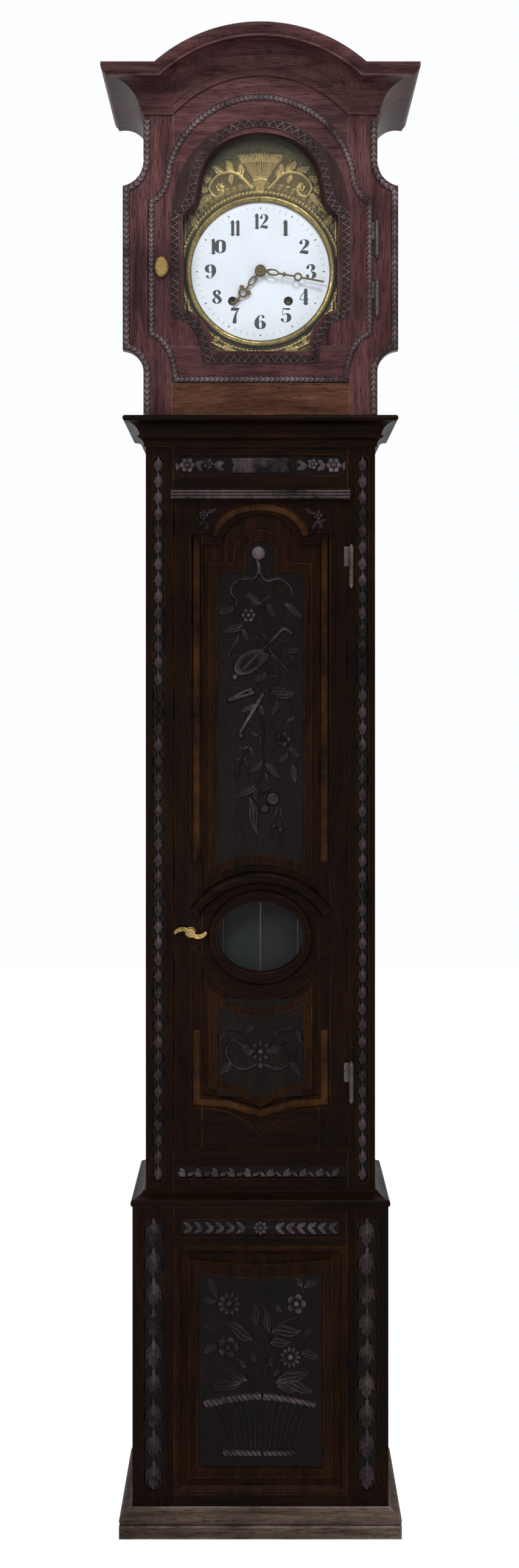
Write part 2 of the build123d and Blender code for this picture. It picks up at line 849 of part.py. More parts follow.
door_upper_panel.part.label = "door_upper_panel"
export_step(door_upper_panel.part, "parts/door_upper_panel.step")

with BuildPart() as door_lower_panel:
    add(
        fielded_panel(
            lower_rebate,
            lower_outline(panel_edge_gap, panel_edge_gap),
            lower_outline(field_inset, 14),
            lower_outline(sunk_inset, 25),
        )
    )

door_lower_panel.part.label = "door_lower_panel"
export_step(door_lower_panel.part, "parts/door_lower_panel.step")

# Mitred lip moulding along the top edge of the door, lapping over the frame
with BuildPart() as door_lip:
    with BuildSketch(side_plane(lip_half)):
        with BuildLine():
            Polyline(
                (-trunk_front, lip_low),
                (-trunk_front + 2, lip_low),
                (-trunk_front + 2, lip_low + 3),
            )
            ThreePointArc(
                (-trunk_front + 2, lip_low + 3),
                (-trunk_front + 6.5, lip_low + 6),
                (-trunk_front + lip_projection, lip_low + 11.5),
            )
            Polyline(
                (-trunk_front + lip_projection, lip_low + 11.5),
                (-trunk_front + lip_projection, lip_high),
                (-trunk_front, lip_high),
                (-trunk_front, lip_low),
            )
        make_face()
    extrude(amount=2 * lip_half)

with BuildPart() as door_mouldings:
    add(door_brow.part)
    add(door_lip.part)

door_mouldings.part.label = "door_mouldings"
export_step(door_mouldings.part, "parts/door_mouldings.step")

# Oval lenticle: carved ring planted on the rail, and its glass in a rebate behind
with BuildPart() as lenticle_ring:
    with BuildSketch(front_plane(trunk_front)):
        with Locations((0, lenticle_height)):
            Ellipse(ring_half_width, ring_half_height)
            Ellipse(glass_half_width, glass_half_height, mode=Mode.SUBTRACT)
    extrude(amount=ring_projection)
    chamfer(lenticle_ring.faces().sort_by(Axis.Y)[0].outer_wire().edges(), length=5, length2=3.5)

lenticle_ring.part.label = "lenticle_ring"
export_step(lenticle_ring.part, "parts/lenticle_ring.step")

with BuildPart() as lenticle_glass:
    with BuildSketch(front_plane(frame_back)):
        with Locations((0, lenticle_height)):
            Ellipse(glass_half_width + lenticle_glass_edge, glass_half_height + lenticle_glass_edge)
    extrude(amount=lenticle_glass_thickness)

lenticle_glass.part.label = "lenticle_glass"
export_step(lenticle_glass.part, "parts/lenticle_glass.step")

# Lever handle: its spindle passes through the door and carries the latch tongue behind
tongue_gap = 0.5
lever_back = trunk_front - 4.5
lever_reach = 26.5

with BuildPart() as handle_rosette:
    with BuildSketch(at(handle_x, handle_height, trunk_front)):
        Circle(9)
        Circle(spindle_radius + 0.1, mode=Mode.SUBTRACT)
    extrude(amount=3)
    chamfer(handle_rosette.faces().sort_by(Axis.Y)[0].outer_wire().edges(), length=1.2)

handle_rosette.part.label = "handle_rosette"
export_step(handle_rosette.part, "parts/handle_rosette.step")

with BuildPart() as trunk_handle:
    with BuildSketch(at(handle_x, handle_height, frame_back + tongue_gap + 4)):
        Circle(spindle_radius)
    extrude(amount=frame_back + tongue_gap + 4 - lever_back)
    with BuildSketch(at(handle_x, handle_height, lever_back)):
        Circle(6.5)
        with BuildLine():
            Line((0, 3.4), (0, -3.4))
            ThreePointArc((0, -3.4), (13, -9.5), (lever_reach, -1))
            Line((lever_reach, -1), (lever_reach - 2, 3))
            ThreePointArc((lever_reach - 2, 3), (13, -2.5), (0, 3.4))
        make_face()
        with BuildLine():
            Line((0, -3.4), (0, 3.4))
            ThreePointArc((0, 3.4), (-13, 9.5), (-lever_reach, 1))
            Line((-lever_reach, 1), (2 - lever_reach, -3))
            ThreePointArc((2 - lever_reach, -3), (-13, 2.5), (0, -3.4))
        make_face()
    extrude(amount=5)
    with BuildSketch(at(handle_x, handle_height, frame_back + tongue_gap + 4)):
        with Locations((0, -17)):
            Rectangle(11, 44)
    extrude(amount=3.5)

trunk_handle.part.label = "trunk_handle"
export_step(trunk_handle.part, "parts/trunk_handle.step")

# Hood: shaped front frame with ears, two stiles, sill rail and arched top rail
def hood_opening(clearance):
    """Outline of the hood door opening, or of the door itself when it is drawn in by a clearance."""
    sill = hood_rail_high + clearance
    sill_half = hood_sill_half - clearance
    side = hood_opening_half - clearance
    arch = hood_arch_radius - clearance
    spring_half = sqrt(arch**2 - (hood_spring_height - hood_arch_centre) ** 2)
    low_corner = hood_opening_low_corner
    corner_x = side - 0.707 * (side - sill_half)
    corner_z = sill + 0.707 * (low_corner - sill)
    upper_x = side - 0.707 * (side - spring_half)
    upper_z = hood_spring_height - 0.707 * (hood_spring_height - hood_opening_high_corner)
    with BuildSketch(Plane.XY) as section:
        with BuildLine():
            Line((0, sill), (sill_half, sill))
            ThreePointArc((sill_half, sill), (corner_x, corner_z), (side, low_corner))
            Line((side, low_corner), (side, hood_opening_high_corner))
            ThreePointArc(
                (side, hood_opening_high_corner), (upper_x, upper_z), (spring_half, hood_spring_height)
            )
            ThreePointArc(
                (spring_half, hood_spring_height),
                (arch * 0.6, hood_arch_centre + arch * 0.8),
                (0, hood_arch_centre + arch),
            )
            mirror(about=Plane.YZ)
        make_face()
    return section.sketch


def hood_glass_outline(inset):
    """Sight opening of the hood door: hollow lower corners, small shoulders and a round head."""
    low = hood_glass_low + inset
    half = hood_glass_half - inset
    arch = hood_glass_arch_radius - inset
    corner_half = hood_glass_corner_half - inset
    corner_high = hood_glass_corner_high + inset
    with BuildSketch(Plane.XY) as section:
        with BuildLine():
            Line((0, low), (corner_half, low))
            ThreePointArc(
                (corner_half, low),
                (half - 0.707 * (half - corner_half), low + 0.707 * (corner_high - low)),
                (half, corner_high),
            )
            Polyline((half, corner_high), (half, hood_glass_shoulder), (arch, hood_glass_shoulder))
            Line((arch, hood_glass_shoulder), (arch, hood_glass_arch_centre))
            ThreePointArc(
                (arch, hood_glass_arch_centre),
                (arch * 0.6, hood_glass_arch_centre + arch * 0.8),
                (0, hood_glass_arch_centre + arch),
            )
            mirror(about=Plane.YZ)
        make_face()
    return section.sketch


cornice_rail_clearance = 7.0
rail_straight_top = cornice_low + cornice_height - cornice_rail_clearance
rail_arch_radius = cornice_arch_low_radius + cornice_height - cornice_rail_clearance
rail_arch_half = sqrt(rail_arch_radius**2 - (rail_straight_top - cornice_arch_centre) ** 2)


def hood_frame_outline():
    """Outline of the hood front: narrow foot, wide ears, narrow shoulders and an arched top."""
    ear = hood_ear_half
    narrow = hood_half_width
    with BuildSketch(Plane.XY) as section:
        with BuildLine():
            Polyline((0, trunk_top), (narrow, trunk_top), (narrow, hood_ear_low[0]))
            ThreePointArc(
                (narrow, hood_ear_low[0]),
                (ear - 0.707 * (ear - narrow), hood_ear_low[0] + 0.707 * (hood_ear_low[1] - hood_ear_low[0])),
                (ear, hood_ear_low[1]),
            )
            Line((ear, hood_ear_low[1]), (ear, hood_ear_high[0]))
            ThreePointArc(
                (ear, hood_ear_high[0]),
                (ear - 0.707 * (ear - narrow), hood_ear_high[1] - 0.707 * (hood_ear_high[1] - hood_ear_high[0])),
                (narrow, hood_ear_high[1]),
            )
            Polyline((narrow, hood_ear_high[1]), (narrow, rail_straight_top), (rail_arch_half, rail_straight_top))
            ThreePointArc(
                (rail_arch_half, rail_straight_top),
                (rail_arch_radius * sin(0.3), cornice_arch_centre + rail_arch_radius * cos(0.3)),
                (0, cornice_arch_centre + rail_arch_radius),
            )
            mirror(about=Plane.YZ)
        make_face()
    return section.sketch


hood_crown = cornice_arch_centre + cornice_arch_low_radius + cornice_height

with BuildPart() as hood_stiles:
    with BuildSketch(front_plane(hood_back_face)):
        add(hood_frame_outline())
        add(hood_opening(0), mode=Mode.SUBTRACT)
        with Locations((0, (trunk_top + hood_rail_high) / 2)):
            Rectangle(2 * hood_sill_half + joint_gap, hood_rail_high - trunk_top + 1, mode=Mode.SUBTRACT)
        with Locations((0, (hood_rail_high + hood_crown) / 2)):
            Rectangle(2 * hood_joint_half + joint_gap, hood_crown - hood_rail_high, mode=Mode.SUBTRACT)
        with Locations((0, (hood_stile_top + hood_crown) / 2)):
            Rectangle(2 * hood_ear_half, hood_crown - hood_stile_top, mode=Mode.SUBTRACT)
    extrude(amount=hood_frame_thickness)

hood_stiles.part.label = "hood_stiles"
export_step(hood_stiles.part, "parts/hood_stiles.step")

with BuildPart() as hood_sill_rail:
    with BuildSketch(front_plane(hood_back_face)):
        with Locations((0, (trunk_top + hood_rail_high) / 2)):
            Rectangle(2 * hood_sill_half - joint_gap, hood_rail_high - trunk_top)
    extrude(amount=hood_frame_thickness)

hood_sill_rail.part.label = "hood_sill_rail"
export_step(hood_sill_rail.part, "parts/hood_sill_rail.step")

with BuildPart() as hood_arch_rail:
    with BuildSketch(front_plane(hood_back_face)):
        add(hood_frame_outline())
        add(hood_opening(0), mode=Mode.SUBTRACT)
        with Locations((0, (hood_spring_height - 20 + hood_crown) / 2)):
            Rectangle(2 * hood_ear_half, hood_crown - hood_spring_height + 20, mode=Mode.INTERSECT)
        with Locations(
            (hood_joint_half + 50, (hood_spring_height - 20 + hood_stile_top) / 2),
            (-hood_joint_half - 50, (hood_spring_height - 20 + hood_stile_top) / 2),
        ):
            Rectangle(100, hood_stile_top - hood_spring_height + 20 + 2 * joint_gap, mode=Mode.SUBTRACT)
    extrude(amount=hood_frame_thickness)

hood_arch_rail.part.label = "hood_arch_rail"
export_step(hood_arch_rail.part, "parts/hood_arch_rail.step")

# Hood sides with a blind notch for the latch of the knob, and a flat roof board between them
latch_notch = (10.0, 62.0, 12.0)

with BuildPart() as hood_sides:
    with BuildSketch(Plane.XY.offset(trunk_top)):
        with Locations(
            (hood_half_width - hood_side_thickness / 2, (hood_back_face + case_back) / 2),
            (hood_side_thickness / 2 - hood_half_width, (hood_back_face + case_back) / 2),
        ):
            Rectangle(hood_side_thickness, case_back - hood_back_face)
    extrude(amount=rail_straight_top - trunk_top)
    with Locations(
        (-hood_inner - latch_notch[2] / 2, hood_back_face + latch_notch[0] / 2, knob_height)
    ):
        Box(latch_notch[2], latch_notch[0], latch_notch[1], mode=Mode.SUBTRACT)

with BuildPart() as hood_roof:
    with BuildSketch(Plane.XY.offset(rail_straight_top - roof_thickness)):
        with Locations((0, (hood_back_face + case_back) / 2)):
            Rectangle(2 * (hood_inner - joint_gap), case_back - hood_back_face)
    extrude(amount=roof_thickness)

with BuildPart() as hood_boards:
    add(hood_sides.part)
    add(hood_roof.part)

hood_boards.part.label = "hood_boards"
export_step(hood_boards.part, "parts/hood_boards.step")


# Hood cornice: one profile runs straight at the sides and turns over the arch
def cornice_profile(face, foot, extra):
    """Band, cove, fillet and bead. Local x runs outward from face, local y up from foot."""
    out = face + cornice_projection
    bead = foot + cornice_height - 16
    with BuildSketch(Plane.XY) as section:
        with BuildLine():
            Polyline((face, foot), (face + 4, foot), (face + 4, foot + 11), (face + 6.5, foot + 11))
            ThreePointArc(
                (face + 6.5, foot + 11), (face + 20, foot + 36), (out - 11, bead - 3)
            )
            Polyline((out - 11, bead - 3), (out - 7, bead - 3), (out - 7, bead))
            ThreePointArc((out - 7, bead), (out - 2.2, bead + 4.2), (out, bead + 10))
            Polyline(
                (out, bead + 10),
                (out, foot + cornice_height + extra),
                (face, foot + cornice_height + extra),
                (face, foot),
            )
        make_face()
    return section.sketch


cornice_rise = cornice_low - cornice_arch_centre
cornice_join_low = sqrt(cornice_arch_low_radius**2 - cornice_rise**2)
cornice_join_high = sqrt(
    (cornice_arch_low_radius + cornice_height) ** 2 - (cornice_rise + cornice_height) ** 2
)


def cornice_join(side):
    """Sloping plane where the straight part meets the arch; its normal points away from the middle."""
    return Plane(
        origin=(side * cornice_join_low, 0, cornice_low),
        z_dir=(side * cornice_height, 0, cornice_join_low - cornice_join_high),
    )


with BuildPart() as cornice_arch:
    with BuildSketch(Plane(origin=(0, 0, cornice_arch_centre), x_dir=(0, -1, 0), z_dir=(-1, 0, 0))):
        add(cornice_profile(-trunk_front, cornice_arch_low_radius, 0))
    revolve(axis=Axis((0, 0, cornice_arch_centre), (0, 1, 0)), revolution_arc=360)
    split(bisect_by=Plane.XY.offset(cornice_low - 60), keep=Keep.TOP)
    split(bisect_by=cornice_join(1).offset(-joint_gap / 2), keep=Keep.BOTTOM)
    split(bisect_by=cornice_join(-1).offset(-joint_gap / 2), keep=Keep.BOTTOM)

with BuildPart() as cornice_straight:
    with BuildSketch(side_plane(hood_half_width + 100)):
        add(cornice_profile(-trunk_front, cornice_low, 0))
    extrude(amount=hood_half_width)
    split(bisect_by=cornice_join(1).offset(joint_gap / 2), keep=Keep.TOP)
    split(bisect_by=mitre(hood_half_width, trunk_front, 1).offset(-joint_gap / 2), keep=Keep.BOTTOM)

with BuildPart() as cornice_return:
    with BuildSketch(front_plane(case_back)):
        add(cornice_profile(hood_half_width, cornice_low, 0))
    extrude(amount=case_back - trunk_front + 100)
    split(bisect_by=mitre(hood_half_width, trunk_front, 1).offset(joint_gap / 2), keep=Keep.TOP)

with BuildPart() as hood_cornice:
    add(cornice_arch.part)
    add(cornice_straight.part)
    add(cornice_return.part)
    add(mirror(cornice_straight.part, about=Plane.YZ, mode=Mode.PRIVATE))
    add(mirror(cornice_return.part, about=Plane.YZ, mode=Mode.PRIVATE))

hood_cornice.part.label = "hood_cornice"
export_step(hood_cornice.part, "parts/hood_cornice.step")

with BuildPart() as hood_hinge_pins:
    for ends in hood_hinge_ends:
        add(hinge_lower_half(hood_hinge_x, *ends))

hood_hinge_pins.part.label = "hood_hinge_pins"
export_step(hood_hinge_pins.part, "parts/hood_hinge_pins.step")

# Hood door: stiles, sill and arch round a pane let into a rebate from behind
hood_door_half = hood_opening_half - hood_door_clearance

with BuildPart() as hood_door_whole:
    with BuildSketch(front_plane(hood_back_face)):
        add(hood_opening(hood_door_clearance))
        add(hood_glass_outline(0), mode=Mode.SUBTRACT)
    extrude(amount=hood_frame_thickness)
    with BuildSketch(front_plane(hood_back_face)):
        add(hood_glass_outline(-hood_glass_edge))
    extrude(amount=hood_glass_thickness, mode=Mode.SUBTRACT)
    with BuildSketch(at(knob_x, knob_height, hood_back_face)):
        Circle(spindle_radius - 1 + 0.1)
    extrude(amount=hood_frame_thickness, mode=Mode.SUBTRACT)

hood_door_joints = (1900.0, 2200.0)

with BuildPart() as hood_door_stiles:
    add(hood_door_whole.part)
    with Locations((0, hood_back_face - hood_frame_thickness / 2, sum(hood_door_joints) / 2)):
        Box(
            2 * hood_ear_half,
            hood_frame_thickness + 2,
            hood_door_joints[1] - hood_door_joints[0],
            mode=Mode.INTERSECT,
        )

hood_door_stiles.part.label = "hood_door_stiles"
export_step(hood_door_stiles.part, "parts/hood_door_stiles.step")

with BuildPart() as hood_door_arch:
    add(hood_door_whole.part)
    with Locations((0, hood_back_face - hood_frame_thickness / 2, hood_door_joints[1] + 100 + joint_gap)):
        Box(2 * hood_ear_half, hood_frame_thickness + 2, 200, mode=Mode.INTERSECT)

hood_door_arch.part.label = "hood_door_arch"
export_step(hood_door_arch.part, "parts/hood_door_arch.step")

with BuildPart() as hood_door_rail:
    add(hood_door_whole.part)
    with Locations((0, hood_back_face - hood_frame_thickness / 2, hood_door_joints[0] - 100 - joint_gap)):
        Box(2 * hood_ear_half, hood_frame_thickness + 2, 200, mode=Mode.INTERSECT)

hood_door_rail.part.label = "hood_door_rail"
export_step(hood_door_rail.part, "parts/hood_door_rail.step")

with BuildPart() as hood_glass:
    with BuildSketch(front_plane(hood_back_face)):
        add(hood_glass_outline(1.0 - hood_glass_edge))
    extrude(amount=hood_glass_thickness)

hood_glass.part.label = "hood_glass"
export_step(hood_glass.part, "parts/hood_glass.step")

with BuildPart() as hood_hinge_barrels:
    for ends in hood_hinge_ends:
        add(hinge_upper_half(hood_hinge_x, *ends, hood_door_half))

hood_hinge_barrels.part.label = "hood_hinge_barrels"
export_step(hood_hinge_barrels.part, "parts/hood_hinge_barrels.step")

# Turn knob of the hood door, with its spindle and latch tongue
knob_spindle = spindle_radius - 1

with BuildPart() as hood_knob:
    with BuildSketch(at(knob_x, knob_height, hood_back_face + tongue_gap + 3)):
        Circle(knob_spindle)
    extrude(amount=hood_frame_thickness + tongue_gap + 3 + 1)
    with BuildSketch(at(knob_x, knob_height, trunk_front - 0.3)):
        Circle(7)
    extrude(amount=2.2)
    with BuildSketch(at(knob_x, knob_height, trunk_front - 2)):
        Ellipse(11, 17)
    extrude(amount=7)
    chamfer(hood_knob.faces().sort_by(Axis.Y)[0].edges(), length=2.5)
    with BuildSketch(at(knob_x, knob_height, hood_back_face + tongue_gap + 3)):
        with Locations((0, -11.5)):
            Rectangle(8, 31)
    extrude(amount=3)

hood_knob.part.label = "hood_knob"
export_step(hood_knob.part, "parts/hood_knob.step")


# Movement: toothed wheels. Angles run clockwise from twelve as seen on the dial.
def tooth_ring(teeth, module, phase, tip, tip_half, root, root_half):
    """Outline points of a toothed wheel; lengths of tip and root are in modules from the pitch circle."""
    pitch = module * teeth / 2
    points = []
    for tooth in range(teeth):
        angle = radians(phase + 360 * tooth / teeth)
        for reach, half in (
            (-root, -root_half),
            (tip, -tip_half),
            (tip, tip_half),
            (-root, root_half),
        ):
            radius = pitch + reach * module
            across = half * module
            points.append(
                (
                    radius * sin(angle) + across * cos(angle),
                    radius * cos(angle) - across * sin(angle),
                )
            )
    return points


def wheel_blank(teeth, module, phase, spokes, hub, rim):
    """Crossed-out wheel: pointed teeth, a rim, straight spokes and a hub."""
    inner = module * teeth / 2 - rim
    with BuildSketch(Plane.XY) as blank:
        with BuildLine():
            Polyline(*tooth_ring(teeth, module, phase, 1.1, 0.04, 1.3, 1.3), close=True)
        make_face()
        Circle(inner, mode=Mode.SUBTRACT)
        Circle(hub)
        for spoke in range(spokes):
            with Locations(Location((0, 0), 180 * spoke / spokes + 45)):
                Rectangle(2 * inner + 1, hub * 0.55)
    return blank.sketch


def pinion_blank(leaves, module, phase):
    """Pinion with thin leaves."""
    with BuildSketch(Plane.XY) as blank:
        with BuildLine():
            Polyline(*tooth_ring(leaves, module, phase, 0.8, 0.28, 1.5, 0.5), close=True)
        make_face()
    return blank.sketch


def round_bar(x, z, back, front, radius):
    """Plain round bar along the depth of the clock, from back to front."""
    with BuildPart() as bar:
        with BuildSketch(at(x, z, back)):
            Circle(radius)
        extrude(amount=back - front)
    return bar.part


def slab(x, z, back, thickness, outline):
    """Flat piece with the given outline, its back face at depth back."""
    with BuildPart() as piece:
        with BuildSketch(at(x, z, back)):
            add(outline)
        extrude(amount=thickness)
    return piece.part


front_bar_back = cage_front
rear_bar_front = cage_back
arbor_back = cage_back + bar_thickness + 1.5
arbor_front = cage_front - bar_thickness - 1.0
great_module = 2 * barrel_distance / (96 + 8)
third_height = dial_height + third_module * (60 + 8) / 2
escape_height = third_height + escape_module * (56 + 8) / 2
winding_height = dial_height - winding_drop
great_angle = degrees(atan2(winding_x, winding_drop))

# Wheel depths, each given as the back face and a thickness
centre_wheel_back = 2.5
centre_wheel_thickness = 2.5
great_wheel_back = 18.0
great_wheel_thickness = 4.0
strike_wheel_back = 26.0
third_wheel_back = 26.5
third_wheel_thickness = 2.5
escape_wheel_back = 42.0
escape_wheel_thickness = 2.0
drum_ends = (30.0, 64.0)
flange = 2.0

# Movement cage: two iron plates riveted on four square pillars, with holes for lines and hammer
hammer_x = -winding_x - 0.5
hammer_height = dial_height + 70.0
bell_x = 40.0
bell_y = 45.0
bell_radius = 52.0
bell_mouth = 2160.0
bell_rise = 44.0

with BuildPart() as movement_cage:
    for level in (cage_low, cage_high - plate_thickness):
        with BuildSketch(Plane.XY.offset(level)):
            with Locations((0, (cage_front + cage_back) / 2)):
                Rectangle(2 * cage_half_width, cage_back - cage_front)
        extrude(amount=plate_thickness)
    with BuildSketch(Plane.XY.offset(cage_low)):
        with Locations((0, (cage_front + cage_back) / 2)):
            with GridLocations(2 * cage_half_width - pillar_side, cage_back - cage_front - pillar_side, 2, 2):
                Rectangle(pillar_side, pillar_side)
    extrude(amount=cage_high - cage_low)
    with BuildSketch(Plane.XY.offset(cage_low)):
        with Locations((line_x, line_y), (-line_x, line_y)):
            Rectangle(*line_slot)
    extrude(amount=plate_thickness, mode=Mode.SUBTRACT)
    with BuildSketch(Plane.XY.offset(cage_high)):
        with Locations((hammer_x - 4, bell_y)):
            Rectangle(44, 14)
    extrude(amount=-plate_thickness, mode=Mode.SUBTRACT)

movement_cage.part.label = "movement_cage"
export_step(movement_cage.part, "parts/movement_cage.step")

# Pivot bars: a middle bar and two side bars, front and back, with the motion-work stud and the cock
cock_front = pendulum_y - 6.0
pin_back = pendulum_y + 3.0
eye_pin_radius = 1.5

with BuildPart() as movement_bars:
    for back in (front_bar_back, rear_bar_front + bar_thickness):
        with BuildSketch(front_plane(back)):
            with Locations((0, (cage_low + cage_high) / 2)):
                Rectangle(2 * centre_bar_half, cage_high - cage_low)
            with Locations(
                (winding_x, (cage_low + cage_high) / 2), (-winding_x, (cage_low + cage_high) / 2)
            ):
                Rectangle(2 * side_bar_half, cage_high - cage_low)
            if back == front_bar_back:
                with Locations((-motion_distance / 2, dial_height)):
                    SlotOverall(motion_distance + 12, 12)
            with Locations((0, dial_height)):
                Circle(
                    (hour_pipe_radius if back == front_bar_back else centre_arbor_radius) + arbor_clearance,
                    mode=Mode.SUBTRACT,
                )
            with Locations((0, third_height), (0, escape_height), (0, pendulum_pivot)):
                Circle(stud_radius + arbor_clearance, mode=Mode.SUBTRACT)
            with Locations((winding_x, winding_height), (-winding_x, winding_height)):
                Circle(barrel_arbor_radius + arbor_clearance, mode=Mode.SUBTRACT)
            with Locations((hammer_x, hammer_height)):
                Circle(stud_radius + arbor_clearance, mode=Mode.SUBTRACT)
        extrude(amount=bar_thickness)
    with BuildSketch(at(-motion_distance, dial_height, -3.0)):
        Circle(stud_radius)
    extrude(amount=-3.0 - front_bar_back)
    with BuildSketch(at(0, pendulum_pivot + 10, front_bar_back - bar_thickness)):
        Rectangle(14, 4)
    extrude(amount=front_bar_back - bar_thickness - cock_front)
    with BuildSketch(at(0, pendulum_pivot + 3, cock_front + 2.5)):
        Rectangle(14, 18)
    extrude(amount=2.5)
    with BuildSketch(at(0, pendulum_pivot, pin_back)):
        Circle(eye_pin_radius)
    extrude(amount=pin_back - cock_front - 1)

movement_bars.part.label = "movement_bars"
export_step(movement_bars.part, "parts/movement_bars.step")

# Bell on its stand, and the hammer that drops against it
with BuildPart() as bell:
    with BuildSketch(Plane(origin=(bell_x, bell_y, bell_mouth), x_dir=(1, 0, 0), z_dir=(0, -1, 0))):
        with BuildLine():
            ThreePointArc((0, bell_rise), (bell_radius * 0.68, bell_rise * 0.74), (bell_radius, 0))
            Line((bell_radius, 0), (bell_radius - 3, 0))
            ThreePointArc(
                (bell_radius - 3, 0), (bell_radius * 0.63, bell_rise * 0.69), (0, bell_rise - 3)
            )
            Line((0, bell_rise - 3), (0, bell_rise))
        make_face()
    revolve(axis=Axis((bell_x, bell_y, 0), (0, 0, 1)), revolution_arc=360)
    with BuildSketch(Plane(origin=(bell_x, bell_y, bell_mouth))):
        Circle(3.1)
    extrude(amount=bell_rise + 1, mode=Mode.SUBTRACT)

bell.part.label = "bell"
export_step(bell.part, "parts/bell.step")

with BuildPart() as bell_stand:
    with BuildSketch(Plane(origin=(bell_x, bell_y, cage_high))):
        Circle(7)
    extrude(amount=4)
    with BuildSketch(Plane(origin=(bell_x, bell_y, cage_high))):
        Circle(3)
    extrude(amount=bell_mouth + bell_rise + 6 - cage_high)
    with BuildSketch(Plane(origin=(bell_x, bell_y, bell_mouth + bell_rise - 4.2))):
        Circle(6)
    extrude(amount=-2)
    with BuildSketch(Plane(origin=(bell_x, bell_y, bell_mouth + bell_rise + 0.3))):
        Circle(5.5)
    extrude(amount=4)

bell_stand.part.label = "bell_stand"
export_step(bell_stand.part, "parts/bell_stand.step")

hammer_head_x = bell_x - bell_radius - 11.5
hammer_head_height = bell_mouth + 6

with BuildPart() as hammer:
    add(round_bar(hammer_x, hammer_height, arbor_back, arbor_front, stud_radius))
    add(round_bar(hammer_x, hammer_height, bell_y + 6, bell_y - 6, 5))
    with BuildSketch(front_plane(bell_y + 2)):
        with BuildLine():
            Polyline(
                (hammer_x - 2.5, hammer_height),
                (hammer_x - 2.5, hammer_height + 45),
                (hammer_head_x - 2.5, hammer_head_height),
                (hammer_head_x + 2.5, hammer_head_height),
                (hammer_x + 2.5, hammer_height + 43),
                (hammer_x + 2.5, hammer_height),
                close=True,
            )
        make_face()
    extrude(amount=4)
    with BuildSketch(Plane(origin=(hammer_head_x - 9, bell_y, hammer_head_height), z_dir=(1, 0, 0))):
        Circle(6)
    extrude(amount=19)
    fillet(hammer.edges().filter_by(GeomType.CIRCLE).sort_by(Axis.Z)[-1], radius=1.5)

hammer.part.label = "hammer"
export_step(hammer.part, "parts/hammer.step")

# Dial: brass surround on four feet, domed enamel plate and a turned bezel
with BuildPart() as dial_surround:
    with BuildSketch(front_plane(surround_front + surround_thickness)):
        with Locations((0, (surround_low + 2170) / 2)):
            Rectangle(2 * surround_half, 2170 - surround_low)
        with Locations((0, 2130)):
            Circle(surround_high - 2130)
        with Locations((0, dial_height)):
            Circle(centre_hole_radius + 1, mode=Mode.SUBTRACT)
        with Locations((winding_x, winding_height), (-winding_x, winding_height)):
            Circle(winding_hole_radius, mode=Mode.SUBTRACT)
    extrude(amount=surround_thickness)
    with BuildSketch(front_plane(cage_front)):
        with Locations(
            (cage_half_width - pillar_side / 2, cage_low + 30),
            (pillar_side / 2 - cage_half_width, cage_low + 30),
            (cage_half_width - pillar_side / 2, cage_high - 30),
            (pillar_side / 2 - cage_half_width, cage_high - 30),
        ):
            Circle(3)
    extrude(amount=cage_front - surround_front)

dial_surround.part.label = "dial_surround"
export_step(dial_surround.part, "parts/dial_surround.step")

with BuildPart() as enamel_dial:
    with BuildSketch(Plane(origin=(0, 0, dial_height), x_dir=(1, 0, 0), z_dir=(0, 0, 1))):
        with BuildLine():
            Line((0, surround_front), (enamel_radius, surround_front))
            Line((enamel_radius, surround_front), (enamel_radius, enamel_front + 1))
            Line((enamel_radius, enamel_front + 1), (bezel_inner, enamel_front + 0.6))
            ThreePointArc(
                (bezel_inner, enamel_front + 0.6),
                (bezel_inner * 0.5, enamel_front - 0.9),
                (0, enamel_front - 1.4),
            )
            Line((0, enamel_front - 1.4), (0, surround_front))
        make_face()
    revolve(axis=Axis((0, 0, dial_height), (0, 1, 0)), revolution_arc=360)
    with BuildSketch(front_plane(surround_front)):
        with Locations((0, dial_height)):
            Circle(centre_hole_radius)
        with Locations((winding_x, winding_height), (-winding_x, winding_height)):
            Circle(winding_hole_radius)
    extrude(amount=8, mode=Mode.SUBTRACT)

enamel_dial.part.label = "enamel_dial"
export_step(enamel_dial.part, "parts/enamel_dial.step")

with BuildPart() as dial_bezel:
    with BuildSketch(Plane(origin=(0, 0, dial_height), x_dir=(1, 0, 0), z_dir=(0, 0, 1))):
        with BuildLine():
            Polyline(
                (bezel_outer, surround_front),
                (enamel_radius + 0.2, surround_front),
                (enamel_radius + 0.2, enamel_front - 0.2),
                (bezel_inner, enamel_front - 0.2),
                (bezel_inner, enamel_front - 1.5),
            )
            ThreePointArc(
                (bezel_inner, enamel_front - 1.5), (bezel_inner + 5, bezel_front), (bezel_outer, surround_front)
            )
        make_face()
    revolve(axis=Axis((0, 0, dial_height), (0, 1, 0)), revolution_arc=360)

dial_bezel.part.label = "dial_bezel"
export_step(dial_bezel.part, "parts/dial_bezel.step")

# Centre arbor: centre wheel, pinion for the great wheel and the cannon pinion behind the dial
with BuildPart() as centre_wheel:
    add(round_bar(0, dial_height, arbor_back, minute_hand_back - hand_thickness - 2, centre_arbor_radius))
    add(slab(0, dial_height, centre_wheel_back, centre_wheel_thickness, wheel_blank(60, third_module, 0, 2, 5, 4)))
    add(
        slab(
            0,
            dial_height,
            great_wheel_back + 2,
            great_wheel_thickness + 4,
            pinion_blank(8, great_module, great_angle - 180 + 22.5),
        )
    )
    add(slab(0, dial_height, -4.0, 3.5, pinion_blank(10, motion_module, -90 + 18)))

centre_wheel.part.label = "centre_wheel"
export_step(centre_wheel.part, "parts/centre_wheel.step")

